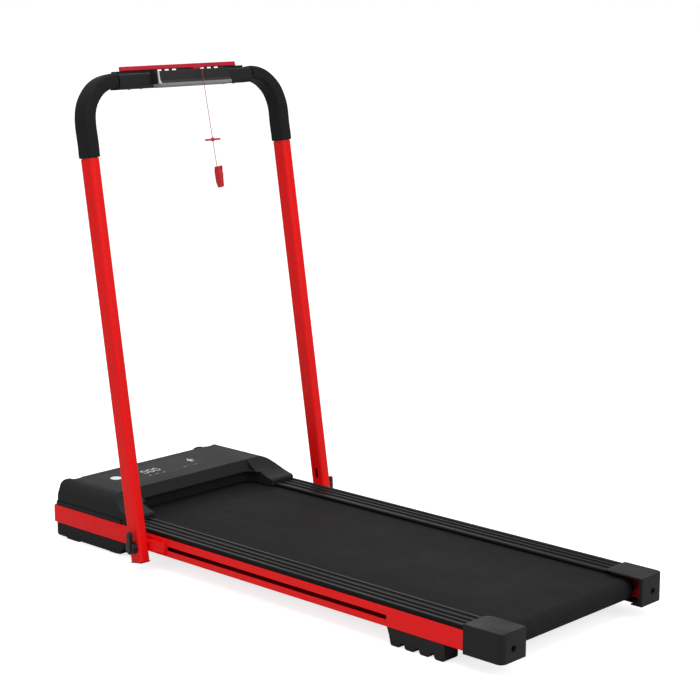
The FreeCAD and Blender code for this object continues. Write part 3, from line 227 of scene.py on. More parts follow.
RED = lin(236, 10, 12)
M = {}
M["painted_red"] = surface("powder_coat_red", RED, 0.42, var=0.045, big=3, small=90, spec=0.2, coat=0.03, coat_rough=0.2,
                           grain=[("peel", 420, 0.045), ("noise", 2600, 0.006)], round_mm=0.8, worn=lin(250, 80, 70), worn_amt=0.16)
M["black_shell"] = surface("moulded_shell", lin(29, 29, 30), 0.58, var=0.09, big=4, small=120, spec=0.18,
                           grain=[("leather", 1500, 0.035), ("noise", 4000, 0.01)], round_mm=0.9, worn=lin(84, 84, 84), worn_amt=0.22,
                           dust=(lin(74, 73, 72), 0.10))
M["cap_shell"] = surface("moulded_cap", lin(31, 31, 32), 0.47, var=0.07, big=6, small=150, spec=0.15,
                         grain=[("leather", 1500, 0.03), ("noise", 4000, 0.008)], round_mm=0.9, worn=lin(90, 90, 90), worn_amt=0.25,
                         dust=(lin(104, 103, 102), 0.2))


def rail_cover_painted_shade(t, c, normal):
    """Foot rails: polished walking ribs, painted shade on the side faces and in the valleys."""
    x, y, z = t.sep(t.obj)
    flank_shade = t.ramp(t.math("ABSOLUTE", t.top), 0.75, 0.35)
    valley_shade = t.ramp(z, 0.0812, 0.0800)
    painted_shade_mask = t.math("MULTIPLY", t.math("MAXIMUM", flank_shade, valley_shade), 0.72)
    # painted shade: side faces and rib valleys darkened to near black, with less specular
    t.put(t.bsdf.inputs["Base Color"], t.mix(painted_shade_mask, c, lin(9, 9, 10)))
    t.put(t.bsdf.inputs["Specular IOR Level"], t.math("SUBTRACT", 0.24, t.math("MULTIPLY", painted_shade_mask, 0.24)))


M["black_rail"] = surface("ribbed_rail_plastic", lin(29, 29, 30), 0.44, var=0.08, big=5, small=140, spec=0.24, extra=rail_cover_painted_shade,
                          grain=[("drawx", 900, 0.03), ("noise", 3500, 0.01)], round_mm=0.5, worn=lin(110, 110, 110), worn_amt=0.3,
                          dust=(lin(90, 89, 87), 0.10))
M["gloss_black"] = surface("gloss_black_plastic", lin(22, 22, 24), 0.3, var=0.08, spec=0.4, coat=0.15, coat_rough=0.15,
                           grain=[("noise", 1800, 0.008)], round_mm=0.6, worn=lin(80, 80, 82), worn_amt=0.25)
M["window"] = surface("smoked_window", lin(28, 28, 29), 0.54, var=0.06, spec=0.18,
                      grain=[("noise", 900, 0.004)], round_mm=0.3, dust=(lin(74, 73, 72), 0.08))
M["rubber_feet"] = surface("foot_rubber", lin(30, 30, 31), 0.72, var=0.12, spec=0.25,
                           grain=[("noise", 900, 0.06), ("pore", 500, 0.03)], round_mm=0.8, worn=lin(80, 78, 75), worn_amt=0.3,
                           dust=(lin(100, 96, 90), 0.15))
M["dark_steel"] = surface("satin_black_paint", lin(28, 28, 29), 0.42, var=0.08, spec=0.4, coat=0.15, coat_rough=0.25,
                          grain=[("peel", 500, 0.04)], round_mm=0.6, worn=lin(120, 118, 115), worn_amt=0.4)
M["zinc_steel"] = surface("zinc_plate", (0.58, 0.58, 0.55), 0.34, var=0.1, metallic=1.0, rough_var=0.18,
                          grain=[("noise", 1600, 0.01), ("drawx", 1500, 0.01)], round_mm=0.3, worn=(0.8, 0.8, 0.8), worn_amt=0.6)
M["roller_steel"] = surface("turned_steel", (0.56, 0.56, 0.57), 0.27, var=0.07, metallic=1.0, rough_var=0.16,
                            grain=[("drawx", 2400, 0.006), ("noise", 700, 0.004)], round_mm=0.4, worn=(0.8, 0.8, 0.8), worn_amt=0.5)
M["motor_can"] = surface("motor_paint", lin(38, 39, 42), 0.4, var=0.07, metallic=0.3, grain=[("peel", 380, 0.05)], round_mm=0.6,
                         worn=lin(150, 150, 150), worn_amt=0.4)
M["alloy"] = surface("cast_alloy", (0.55, 0.55, 0.56), 0.42, var=0.12, metallic=1.0, grain=[("noise", 420, 0.08), ("noise", 2200, 0.015)],
                     round_mm=0.5, worn=(0.85, 0.85, 0.85), worn_amt=0.6)
M["crimson"] = surface("crimson_gloss", lin(196, 3, 44), 0.28, var=0.1, big=12, spec=0.4, coat=0.25, coat_rough=0.08,
                       grain=[("noise", 500, 0.006)], round_mm=0.5, worn=lin(235, 120, 140), worn_amt=0.2)
M["red_plastic"] = surface("red_clip_plastic", lin(196, 26, 36), 0.3, var=0.08, spec=0.4, coat=0.2, coat_rough=0.15,
                           grain=[("noise", 1400, 0.01)], round_mm=0.5, worn=lin(240, 130, 130), worn_amt=0.3)
M["nylon"] = surface("natural_nylon", lin(226, 222, 208), 0.45, var=0.05, grain=[("noise", 1100, 0.02)], round_mm=0.4)
M["foam"] = surface("foam_sleeve", lin(24, 24, 25), 0.66, var=0.1, big=9, small=220, spec=0.14, sheen=0.02,
                    grain=[("pore", 1300, 0.12), ("noise", 160, 0.10)], round_mm=0.4, dust=(lin(60, 59, 58), 0.08))


def local(t):
    """Position in the handrail's own upright frame, metres."""
    x, y, z = t.sep(t.obj)
    a = math.radians(8.93)
    dx, dz = t.math("SUBTRACT", x, PIVOT.x), t.math("SUBTRACT", z, PIVOT.z)
    fwd = t.math("ADD", t.math("MULTIPLY", dx, math.cos(a)), t.math("MULTIPLY", dz, math.sin(a)))
    h = t.math("ADD", t.math("MULTIPLY", dx, -math.sin(a)), t.math("MULTIPLY", dz, math.cos(a)))
    return fwd, y, h


def console_painted_highlights(t, c, normal):
    """The console's lower lip is painted a lighter grey than its face, a painted highlight; a pale painted highlight
    line closes its left end.
    """
    fwd, y, h = local(t)
    # painted highlight: the lip below the face is lit to a lighter grey
    c = t.mix(t.ramp(h, 0.9575, 0.9568), c, lin(132, 131, 132))
    # painted highlight: a pale line down the left end of the console face
    end = t.math("MULTIPLY", t.ramp(y, -0.0985, -0.0990), t.ramp(fwd, 0.0395, 0.0405))
    end = t.math("MULTIPLY", end, t.ramp(h, 0.9560, 0.9570))
    t.put(t.bsdf.inputs["Base Color"], t.mix(end, c, lin(196, 200, 200)))


def rail_painted_shade(t, c, normal):
    """Side rails: painted shade inside the box section, painted shadow on the faces beside the rollers, deeper towards
    the top.
    """
    x, y, z = t.sep(t.obj)
    ay = t.math("ABSOLUTE", y)
    # painted shade: the hollow rail's interior seen through the slot is darkened to near black red
    inside_shade = t.math("MULTIPLY", t.ramp(ay, 0.2098, 0.2100), t.ramp(ay, 0.2492, 0.2488))
    inside_shade = t.math("MULTIPLY", inside_shade, t.math("MULTIPLY", t.ramp(z, 0.0354, 0.0357), t.ramp(z, 0.0706, 0.0703)))
    inside_shade = t.math("MULTIPLY", inside_shade, t.math("MULTIPLY", t.ramp(x, -0.6115, -0.611), t.ramp(x, 0.638, 0.637)))
    c = t.mix(t.math("MULTIPLY", inside_shade, 0.93), c, lin(30, 4, 4))
    # painted shadow under the end caps: the belt-side faces darken towards the top along a noisy edge
    wall_shade = t.math("MULTIPLY", t.ramp(ay, 0.2086, 0.2083), t.ramp(t.math("ADD", z, t.math("MULTIPLY", t.noise(40, 4), 0.012)), 0.050, 0.066, 0.35, 0.93))
    t.put(t.bsdf.inputs["Base Color"], t.mix(wall_shade, c, lin(44, 4, 10)))


def marks_look(t, c, normal):
    t.put(t.bsdf.inputs["Emission Color"], t.mix(t.noise(400, 2), (0.75, 0.82, 0.85), (1.0, 1.0, 1.0)))
    x, y, z = t.sep(t.obj)
    small = t.math("MULTIPLY", t.ramp(x, -0.5085, -0.5080), t.ramp(y, -0.125, -0.12))
    t.put(t.bsdf.inputs["Base Color"], t.mix(small, c, lin(112, 112, 112)))
    t.put(t.bsdf.inputs["Emission Strength"], t.math("SUBTRACT", 0.28, t.math("MULTIPLY", small, 0.26)))


M["marks"] = surface("lit_marks", lin(196, 198, 198), 0.35, var=0.06, grain=[("noise", 2000, 0.004)], round_mm=0.1, extra=marks_look)


def cord_material():
    """Braided cord: two opposed helices of yarn along the length."""
    t = Tree("braided_cord")
    x, y, z = t.sep(t.obj)
    a = t.math("SINE", t.math("ADD", t.math("MULTIPLY", z, 5200.0), t.math("MULTIPLY", y, 3200.0)))
    b = t.math("SINE", t.math("SUBTRACT", t.math("MULTIPLY", z, 5200.0), t.math("MULTIPLY", y, 3200.0)))
    h = t.math("MULTIPLY", a, b)
    c = t.mix(t.ramp(h, -0.6, 0.6), lin(150, 22, 36), lin(206, 44, 58))
    c = t.mix(t.math("MULTIPLY", t.noise(90, 4), 0.35), c, lin(120, 14, 26))
    t.put(t.bsdf.inputs["Base Color"], c)
    t.put(t.bsdf.inputs["Roughness"], t.math("ADD", 0.55, t.math("MULTIPLY", t.noise(300), 0.25)))
    t.put(t.bsdf.inputs["Sheen Weight"], 0.3)
    t.put(t.bsdf.inputs["Normal"], t.bump(h, 0.08 * MM, 0.8))
    return t.mat


M["red_cord"] = cord_material()
M["rail_red"] = surface("rail_powder_coat", RED, 0.42, var=0.045, big=3, small=90, spec=0.2, coat=0.03, coat_rough=0.2,
                        grain=[("peel", 420, 0.045), ("noise", 2600, 0.006)], round_mm=0.8, worn=lin(250, 80, 70), worn_amt=0.16,
                        extra=rail_painted_shade)
M["bolt_dark"] = surface("black_oxide_bolt", lin(20, 20, 21), 0.5, var=0.1, metallic=0.4, spec=0.3, grain=[("noise", 900, 0.01)], round_mm=0.3)
M["console"] = surface("console_shell", lin(34, 34, 35), 0.42, var=0.08, spec=0.3, grain=[("leather", 1700, 0.03)], round_mm=0.7,
                       worn=lin(120, 120, 120), worn_amt=0.5, extra=console_painted_highlights)


def belt_material():
    """Woven-back rubber belt: fine lozenge tread, tracking streaks, a lightly polished walking lane."""
    t = Tree("belt_rubber")
    x, y, z = t.sep(t.obj)
    p = 2 * math.pi / 0.0026
    u = t.math("ADD", t.math("MULTIPLY", x, p), t.math("MULTIPLY", y, p * 0.6))
    v = t.math("SUBTRACT", t.math("MULTIPLY", x, p), t.math("MULTIPLY", y, p * 0.6))
    loz = t.math("MULTIPLY", t.math("SINE", u), t.math("SINE", v))
    streak = t.noise(1.0, 4, 0.6, vec=t.vscale((1.2, 70.0, 1.2)))
    lane = t.math("MULTIPLY", t.ramp(t.math("ABSOLUTE", y), 0.17, 0.05), t.ramp(t.noise(7, 4), 0.3, 0.7))
    c = t.mix(t.ramp(streak, 0.35, 0.65), lin(28, 28, 28), lin(31, 30, 30))
    c = t.mix(t.math("MULTIPLY", lane, 0.16), c, lin(38, 37, 36))
    c = t.mix(t.math("MULTIPLY", t.ramp(loz, 0.1, 0.7), 0.14), c, lin(48, 47, 46))
    r = t.math("ADD", 0.73, t.math("MULTIPLY", t.noise(25, 5), 0.12))
    r = t.math("SUBTRACT", r, t.math("MULTIPLY", lane, 0.08))
    n = t.bump(loz, 0.10 * MM, 0.7)
    n = t.bump(t.noise(1800, 2), 0.02 * MM, 1.0, n)
    t.put(t.bsdf.inputs["Base Color"], c)
    t.put(t.bsdf.inputs["Roughness"], r)
    t.put(t.bsdf.inputs["Normal"], n)
    t.put(t.bsdf.inputs["Specular IOR Level"], 0.1)
    return t.mat


M["belt"] = belt_material()


def board_material():
    """Laminated board: dark film with a fine dot print on the faces, raw fibre on the cut edges."""
    t = Tree("laminated_board")
    face = t.ramp(t.math("ABSOLUTE", t.top), 0.6, 0.9)
    fibre = t.noise(1.0, 5, 0.7, vec=t.vscale((260, 260, 1600)))
    raw = t.mix(t.ramp(fibre, 0.3, 0.7), lin(120, 86, 52), lin(168, 128, 84))
    film = t.mix(t.ramp(t.cells(450, rnd=0.1), 0.2, 0.4), lin(38, 32, 28), lin(28, 24, 22))
    t.put(t.bsdf.inputs["Base Color"], t.mix(face, raw, film))
    t.put(t.bsdf.inputs["Roughness"], t.math("SUBTRACT", 0.75, t.math("MULTIPLY", face, 0.35)))
    t.put(t.bsdf.inputs["Normal"], t.bump(fibre, 0.05 * MM, 0.7))
    return t.mat


M["deck_board"] = board_material()

slots = {s["node"]: s["material_slot"] for s in frame["record"]["subparts"]}


def smooth_group():
    """Weld-safe smoothing: faces smooth, edges sharper than 32 degrees kept sharp."""
    g = bpy.data.node_groups.new("smooth_by_angle", "GeometryNodeTree")
    g.interface.new_socket("Geometry", in_out="INPUT", socket_type="NodeSocketGeometry")
    g.interface.new_socket("Geometry", in_out="OUTPUT", socket_type="NodeSocketGeometry")
    gi, go = g.nodes.new("NodeGroupInput"), g.nodes.new("NodeGroupOutput")
    ang = g.nodes.new("GeometryNodeInputMeshEdgeAngle")
    cmp_ = g.nodes.new("FunctionNodeCompare")
    cmp_.data_type, cmp_.operation = "FLOAT", "LESS_THAN"
    cmp_.inputs[1].default_value = math.radians(32)
    f = g.nodes.new("GeometryNodeSetShadeSmooth")
    f.domain = "FACE"
    e = g.nodes.new("GeometryNodeSetShadeSmooth")
    e.domain = "EDGE"
    g.links.new(gi.outputs[0], f.inputs[0])
    g.links.new(f.outputs[0], e.inputs[0])
    g.links.new(ang.outputs[0], cmp_.inputs[0])
    g.links.new(cmp_.outputs[0], e.inputs["Shade Smooth"])
    g.links.new(e.outputs[0], go.inputs[0])
    return g


SMOOTH = smooth_group()
VARIANT = {"end_cap_left": "cap_shell", "end_cap_right": "cap_shell", "console_housing": "console", "tray_base": "cap_shell",
           "side_rail_left": "rail_red", "side_rail_right": "rail_red", "roller_adjust_bolts": "bolt_dark"}
for name, o in NODES.items():
    o.data.materials.clear()
    o.data.materials.append(M[VARIANT.get(name, slots[name])])
    for p in o.data.polygons:
        p.material_index = 0
    w = o.modifiers.new("weld", "WELD")
    w.merge_threshold = 2e-6
    s = o.modifiers.new("smooth", "NODES")
    s.node_group = SMOOTH


# ------------------------------------------------------------------ mesh helpers
def piece(name, verts, faces, slot, body, *replace, smooth=True, angle=40):
    me = bpy.data.meshes.new(name)
    me.from_pydata([tuple(v) for v in verts], [], faces)
    bm = bmesh.new()
    bm.from_mesh(me)
    bmesh.ops.remove_doubles(bm, verts=bm.verts, dist=1e-7)
    bmesh.ops.recalc_face_normals(bm, faces=bm.faces)
    if smooth:
        for f in bm.faces:
            f.smooth = True
        for e in bm.edges:
            e.smooth = e.calc_face_angle(0) < math.radians(angle)
    bm.to_mesh(me)
    bm.free()
    o = bpy.data.objects.new(name, me)
    scene.collection.objects.link(o)
    me.materials.append(M[slot])
    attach(o, body)
    if replace:
        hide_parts(*replace)
    return o


def sweep(rings, closed=False, cap=True):
    """Quads between successive rings of equal length; the ends are closed by fans when capped."""
    n = len(rings[0])
    verts = [v for r in rings for v in r]
    faces = []
    last = len(rings) if closed else len(rings) - 1
    for i in range(last):
        a, b = i * n, ((i + 1) % len(rings)) * n
        for j in range(n):
            k = (j + 1) % n
            faces.append((a + j, a + k, b + k, b + j))
    if cap and not closed:
        faces.append(tuple(range(n))[::-1])
        faces.append(tuple((len(rings) - 1) * n + j for j in range(n)))
    return verts, faces


LEAN = Matrix.Rotation(math.radians(-8.93), 4, "Y")


def rail_pt(x, y, z):
    """A point of the handrail's own drawing plane (mm) in the row frame (m)."""
    return PIVOT + LEAN @ Vector((x * MM, y * MM, z * MM))


# ------------------------------------------------------------------ foam sleeves
def rounded_section(hx, hy, r, n=9):
    pts = []
    for cx, cy, a0 in ((hx - r, hy - r, 0), (-hx + r, hy - r, 90), (-hx + r, -hy + r, 180), (hx - r, -hy + r, 270)):
        for i in range(n):
            a = math.radians(a0 + 90 * i / (n - 1))
            pts.append((cx + r * math.cos(a), cy + r * math.sin(a)))
    return pts


def foam(side, name):
    Wd, Z, R, low, end = 277.4, 971.6, 85.0, 817.0, 190.6
    line = []
    for i in range(24):
        line.append((Wd, low + (Z - R - low) * i / 24.0, 0.0))
    steps = 40
    for i in range(steps + 1):
        a = i / steps * math.pi / 2
        line.append((Wd - R + R * math.cos(a), Z - R + R * math.sin(a), a))
    for i in range(1, 4):
        line.append((Wd - R - (Wd - R - end) * i / 3.0, Z, math.pi / 2))
    total = len(line)
    rings = []

    def ring(y, z, a, grow, shift=0.0, wob=True):
        out = []
        ny, nz = math.cos(a), math.sin(a)
        ty, tz = -math.sin(a), math.cos(a)
        y, z = y + ty * shift, z + tz * shift
        for k, (sx, sn) in enumerate(rounded_section(20.6 + grow, 15.3 + grow, 7.2 + grow * 0.6)):
            w = 0.0
            if wob:
                w = 0.22 * math.sin(0.11 * z + k * 0.5) * math.sin(0.083 * y + k * 0.31)
                if 0.15 < a < 1.42 and sn < -8:
                    w -= 0.35 * (0.5 + 0.5 * math.cos(a * 46.0)) * min(1.0, (-sn - 8) / 6)
            rx, rn = sx * (1 + w / 20.0), sn * (1 + w / 15.0)
            out.append(rail_pt(rx, side * (y + ny * rn), z + nz * rn))
        return out

    y0, z0, a0 = line[0]
    for g, s in ((-4.2, 0.0), (-2.4, -0.0), (-1.2, 0.25), (-0.35, 1.0), (0.0, 2.2)):
        rings.append(ring(y0, z0, a0, g, s, False))
    for y, z, a in line[1:-1]:
        rings.append(ring(y, z, a, 0.0))
    y1, z1, a1 = line[-1]
    for g, s in ((0.0, -2.2), (-0.35, -1.0), (-1.2, -0.25), (-2.4, 0.0), (-4.2, 0.0)):
        rings.append(ring(y1, z1, a1, g, s, False))
    # inner bore so that the sleeve is a real tube
    inner = []
    for y, z, a in [line[-1]] + line[-2::-1]:
        ny, nz = math.cos(a), math.sin(a)
        inner.append([rail_pt(sx, side * (y + ny * sn), z + nz * sn) for sx, sn in rounded_section(16.25, 10.75, 4.6)])
    verts, faces = sweep(rings + inner, closed=True)
    return piece(name, verts, faces, "foam", "handrail", "foam_grips")


foam(-1, "foam_sleeve_left")
foam(1, "foam_sleeve_right")


# ------------------------------------------------------------------ walking belt
def belt():
    r, t = 21.6, 1.6
    xa, xb, zc = -478.0, 607.0, 52.4
    path = []
    n_top = 130
    for i in range(n_top + 1):
        path.append((xa + (xb - xa) * i / n_top, zc + r, 0.0, 1.0))
    for i in range(1, 28):
        a = math.pi / 2 - math.pi * i / 28
        path.append((xb + r * math.cos(a), zc + r * math.sin(a), math.cos(a), math.sin(a)))
    for i in range(n_top + 1):
        u = i / n_top
        path.append((xb + (xa - xb) * u, zc - r, 0.0, -1.0))
    for i in range(1, 28):
        a = -math.pi / 2 - math.pi * i / 28
        path.append((xa + r * math.cos(a), zc + r * math.sin(a), math.cos(a), math.sin(a)))
    half = 192.0
    ys = [-half + 0.0, -half + 0.35, -half + 1.1] + [-half + 8 + (2 * half - 16) * i / 24 for i in range(25)] + [half - 1.1, half - 0.35, half]
    rings = []
    for x, z, nx, nz in path:
        ring = []
        for y in ys:
            e = half - abs(y)
            d = 0.5 if e < 0.1 else (0.16 if e < 0.5 else 0.0)
            ring.append(Vector(((x - nx * d) * MM, y * MM, (z - nz * d) * MM)))
        for y in reversed(ys):
            e = half - abs(y)
            d = t - (0.5 if e < 0.1 else (0.16 if e < 0.5 else 0.0))
            ring.append(Vector(((x - nx * d) * MM, y * MM, (z - nz * d) * MM)))
        rings.append(ring)
    verts, faces = sweep(rings, closed=True)
    return piece("belt_band", verts, faces, "belt", "deck", "walking_belt", angle=50)


belt()


# ------------------------------------------------------------------ lanyard cord: two twisted strands
def cord():
    lo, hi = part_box("lanyard_cord")
    ky = 0.014
    top = JOINT_AT["lanyard_swing"].copy()
    edge_pt = rail_pt(51.5, 0, 981.6)
    edge_pt.y = ky
    tilt = math.radians(12)
    run_len = (edge_pt.z - lo.z) / math.cos(tilt)
    end = edge_pt + Vector((math.sin(tilt), 0, -math.cos(tilt))) * run_len
    drop = (end - edge_pt).normalized()
    # quadratic arc between the key's eye and the edge, tangent to the drop
    k = edge_pt - drop * 0.009
    pts = []
    for i in range(14):
        u = i / 14.0
        pts.append(top * (1 - u) ** 2 + k * 2 * u * (1 - u) + edge_pt * u * u)
    n = 300
    for i in range(n + 1):
        pts.append(edge_pt.lerp(end, i / n))
    verts, faces = [], []
    run = 0.0
    for s in range(2):
        rings = []
        run = 0.0
        for i, p in enumerate(pts):
            if i:
                run += (p - pts[i - 1]).length
            t = (pts[min(i + 1, len(pts) - 1)] - pts[max(i - 1, 0)]).normalized()
            side = Vector((0, 1, 0))
            up = t.cross(side).normalized()
            ph = run / 0.0042 * 2 * math.pi + s * math.pi
            c = p + (side * math.cos(ph) + up * math.sin(ph)) * 0.00042
            rings.append([c + (side * math.cos(q) + up * math.sin(q)) * 0.00046 for q in [j * math.pi / 3 for j in range(6)]])
        v, f = sweep(rings)
        off = len(verts)
        verts += v
        faces += [tuple(a + off for a in q) for q in f]
    return piece("cord_strands", verts, faces, "red_cord", "lanyard", "lanyard_cord", angle=70)


cord()


# ------------------------------------------------------------------ fasteners, tyres and small hardware
def lathe(name, prof, centre, axis, slot, body, *replace, segs=72, mod=None, angle=35):
    """Closed (radius, height) outline turned about an axis; mod(k, r, h) can change the radius at segment k."""
    ax = Vector(axis).normalized()
    u = ax.orthogonal().normalized()
    v = ax.cross(u)
    rings = []
    for k in range(segs):
        a = 2 * math.pi * k / segs
        d = u * math.cos(a) + v * math.sin(a)
        rings.append([centre + (d * (mod(k, r, h) if mod else r) + ax * h) * MM for r, h in prof])
    verts, faces = sweep(rings, closed=True)
    return piece(name, verts, faces, slot, body, *replace, angle=angle)


def screws(name, spots, slot, body, r=3.6, h=1.7):
    """Pan-head screws with a cross recess, one mesh for a set; each spot is (seat point, outward direction, turn)."""
    verts, faces = [], []
    segs, rings = 56, (0.0, 0.14, 0.22, 0.30, 0.45, 0.6, 0.75, 0.88, 0.96, 1.0)
    for seat, out, turn in spots:
        n = Vector(out).normalized()
        u = n.orthogonal().normalized()
        v = n.cross(u)
        base = len(verts)
        verts.append(seat + n * (h * 0.42) * MM)
        for q in rings[1:]:
            for k in range(segs):
                a = 2 * math.pi * k / segs
                x, y = q * math.cos(a - turn), q * math.sin(a - turn)
                z = math.sqrt(max(0.0, 1 - (q * 0.86) ** 2))
                arm = (abs(x) < 0.13 and abs(y) < 0.58) or (abs(y) < 0.13 and abs(x) < 0.58)
                hh = h * (0.42 if arm else z)
                verts.append(seat + ((u * math.cos(a) + v * math.sin(a)) * q * r + n * hh) * MM)
        for k in range(segs):
            a = 2 * math.pi * k / segs
            verts.append(seat + ((u * math.cos(a) + v * math.sin(a)) * r - n * 0.3) * MM)
        m = len(rings) - 1
        for k in range(segs):
            j = (k + 1) % segs
            faces.append((base, base + 1 + k, base + 1 + j))
        for i in range(m):
            o0, o1 = base + 1 + i * segs, base + 1 + (i + 1) * segs
            for k in range(segs):
                j = (k + 1) % segs
                faces.append((o0 + k, o1 + k, o1 + j, o0 + j))
        o0 = base + 1 + m * segs
        faces.append(tuple(o0 + k for k in range(segs))[::-1])
    return piece(name, verts, faces, slot, body, angle=30)


def P(x, y, z):
    return Vector((x * MM, y * MM, z * MM))


def wells(name, spots):
    """Blind socket wells set in the rear caps' adjuster holes: short dark tubes closed by a disc with a hexagon socket."""
    verts, faces = [], []
    segs = 48
    for c in spots:
        base = len(verts)
        rows = [(6.2, -0.1), (6.0, -7.6), (5.6, -7.9), (3.4, -7.9), (2.6, -8.6), (0.6, -8.7)]
        back = [(6.5, 0.0), (6.85, -0.4), (6.85, -9.2), (0.6, -9.3)]
        prof = back[::-1] + rows
        for k in range(segs):
            a = 2 * math.pi * k / segs
            h = math.cos(math.pi / 6) / math.cos(((a + math.pi / 6) % (math.pi / 3)) - math.pi / 6)
            for r, x in prof:
                q = r * h / 0.93 if 2.5 < r < 3.5 and x < -7.0 else r
                verts.append(c + Vector((x, q * math.cos(a), q * math.sin(a))) * MM)
        n = len(prof)
        for k in range(segs):
            j = (k + 1) % segs
            for i in range(n):
                m = (i + 1) % n
                faces.append((base + k * n + i, base + j * n + i, base + j * n + m, base + k * n + m))
    return piece(name, verts, faces, "dark_steel", "deck", angle=30)


def tyre(side, name):
    """Solid rubber wheel: crowned tread with cross grooves, sunk web, raised hub."""
    node = "transport_wheel_" + name
    lo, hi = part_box(node)
    c = (lo + hi) / 2
    hw = (hi.y - lo.y) / 2 / MM
    R = (hi.z - lo.z) / 2 / MM
    prof = [(4.15, -hw + 0.4), (4.6, -hw), (8.4, -hw), (9.0, -hw + 0.6), (9.4, -hw + 3.6), (10.4, -hw + 4.2), (22.6, -hw + 4.2),
            (23.6, -hw + 3.6), (24.2, -hw + 0.7), (25.0, -hw), (R - 4.2, -hw), (R - 2.2, -hw + 0.6), (R - 0.8, -hw + 2.0), (R - 0.2, -hw + 4.0),
            (R, -1.3), (R - 1.3, -0.9), (R - 1.3, 0.9), (R, 1.3), (R - 0.2, hw - 4.0), (R - 0.8, hw - 2.0), (R - 2.2, hw - 0.6), (R - 4.2, hw),
            (25.0, hw), (24.2, hw - 0.7), (23.6, hw - 3.6), (22.6, hw - 4.2), (10.4, hw - 4.2), (9.4, hw - 3.6), (9.0, hw - 0.6), (8.4, hw),
            (4.6, hw), (4.15, hw - 0.4)]

    def groove(k, r, h):
        return r - 1.1 if k % 6 == 0 and r > R - 2.5 and abs(h) > 1.2 else r

    lathe("tyre_" + name, prof, c, (0, 1, 0), "rubber_feet", node, node, segs=144, mod=groove)


for s_, n_ in ((-1, "left"), (1, "right")):
    tyre(s_, n_)
wells("adjuster_wells", [P(657.0, -217, 52.4), P(657.0, 217, 52.4)])

lo_, hi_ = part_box("belly_pan")
low_ = lo_.z / MM
screws("pan_screws", [(P(x, y, low_), (0, 0, -1), 0.4 + 0.3 * i) for i, (x, y) in enumerate(
    [(-590, -150), (-590, 150), (-500, -225), (-500, 225), (-418, -150), (-418, 150), (-590, 0), (-418, 0)])], "zinc_steel", "deck")
lo_, hi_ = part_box("end_cap_left")
screws("cap_screws", [(P(x, y, lo_.z / MM), (0, 0, -1), 0.2 * i) for i, (x, y) in enumerate(
    [(585, -236), (640, -236), (585, 236), (640, 236)])], "zinc_steel", "deck", r=3.2, h=1.5)
screws("tray_screws", [(rail_pt(0, y, 951.75), LEAN @ Vector((0, 0, -1)), 0.5) for y in (-150, -118, 118, 150)],
       "zinc_steel", "handrail", r=3.0, h=1.4)

# ------------------------------------------------------------------ stage, light and camera


def plain(name, col, rough=0.9, glow=0.0):
    t = Tree(name)
    t.put(t.bsdf.inputs["Base Color"], t.mix(t.noise(2.0, 3), shade(col, 0.995), col))
    t.put(t.bsdf.inputs["Roughness"], rough)
    if glow:
        seen = t.new("ShaderNodeLightPath").outputs["Is Camera Ray"]
        t.put(t.bsdf.inputs["Emission Color"], (1.0, 1.0, 1.0))
        t.put(t.bsdf.inputs["Emission Strength"], t.math("MULTIPLY", seen, glow))
    return t.mat


me = bpy.data.meshes.new("floor")
S = 30.0
me.from_pydata([(-S, -S, -0.0004), (S, -S, -0.0004), (S, S, -0.0004), (-S, S, -0.0004)], [], [(0, 1, 2, 3)])
floor = bpy.data.objects.new("floor", me)
me.materials.append(plain("pale_floor", (0.62, 0.62, 0.62), 0.95, 0.76))
scene.collection.objects.link(floor)

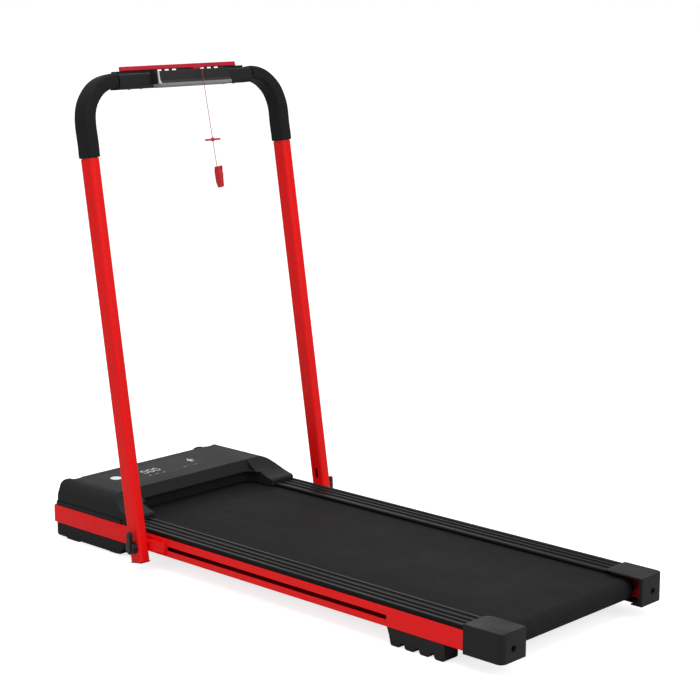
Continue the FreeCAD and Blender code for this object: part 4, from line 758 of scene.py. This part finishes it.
world = bpy.data.worlds.new("studio")
scene.world = world
world.use_nodes = True
nt = world.node_tree
nt.nodes.clear()
wo = nt.nodes.new("ShaderNodeOutputWorld")
mixs = nt.nodes.new("ShaderNodeMixShader")
lp = nt.nodes.new("ShaderNodeLightPath")
amb = nt.nodes.new("ShaderNodeBackground")
tc = nt.nodes.new("ShaderNodeTexCoord")
sx = nt.nodes.new("ShaderNodeSeparateXYZ")
sky = nt.nodes.new("ShaderNodeMapRange")
sky.inputs[1].default_value, sky.inputs[2].default_value = -0.05, 0.9
sky.inputs[3].default_value, sky.inputs[4].default_value = 0.26, 0.68
nt.links.new(tc.outputs["Generated"], sx.inputs[0])
nt.links.new(sx.outputs[2], sky.inputs[0])
amb.inputs[0].default_value = (1, 1, 1, 1)
nt.links.new(sky.outputs[0], amb.inputs[1])
cam_bg = nt.nodes.new("ShaderNodeBackground")
cam_bg.inputs[0].default_value = (1, 1, 1, 1)
cam_bg.inputs[1].default_value = 1.0
nt.links.new(lp.outputs["Is Camera Ray"], mixs.inputs[0])
nt.links.new(amb.outputs[0], mixs.inputs[1])
nt.links.new(cam_bg.outputs[0], mixs.inputs[2])
nt.links.new(mixs.outputs[0], wo.inputs[0])


def softbox(name, pos, target, size, power):
    ld = bpy.data.lights.new(name, "AREA")
    ld.shape = "RECTANGLE"
    ld.size, ld.size_y = size
    ld.energy = power
    o = bpy.data.objects.new(name, ld)
    o.location = pos
    o.rotation_euler = (Vector(target) - Vector(pos)).to_track_quat("-Z", "Y").to_euler()
    scene.collection.objects.link(o)


softbox("key_top", (0.6, -0.4, 3.4), (0, 0, 0.3), (3.0, 3.0), 51)
softbox("key_rear", (4.0, 0.6, 2.2), (0, 0, 0.4), (2.4, 2.4), 53)
softbox("fill_left", (-0.5, -4.2, 1.6), (0, 0, 0.4), (2.6, 2.0), 28)
softbox("kick_far", (-2.8, 2.6, 2.2), (0, 0, 0.4), (2.0, 2.0), 14)

az, el = math.radians(43.32), math.radians(11.53)
back = Vector((math.sin(az) * math.cos(el), -math.cos(az) * math.cos(el), math.sin(el)))
right = Vector((math.cos(az), math.sin(az), 0.0))
up = back.cross(right)
cd = bpy.data.cameras.new("camera")
cd.sensor_width = 36.0
cd.lens = 97.0
cd.clip_end = 200
cam = bpy.data.objects.new("camera", cd)
cam.matrix_world = Matrix(((right.x, up.x, back.x, 2.633), (right.y, up.y, back.y, -2.737), (right.z, up.z, back.z, 1.2465), (0, 0, 0, 1)))
scene.collection.objects.link(cam)
scene.camera = cam
scene.view_settings.view_transform = "Standard"
scene.view_settings.look = "None"
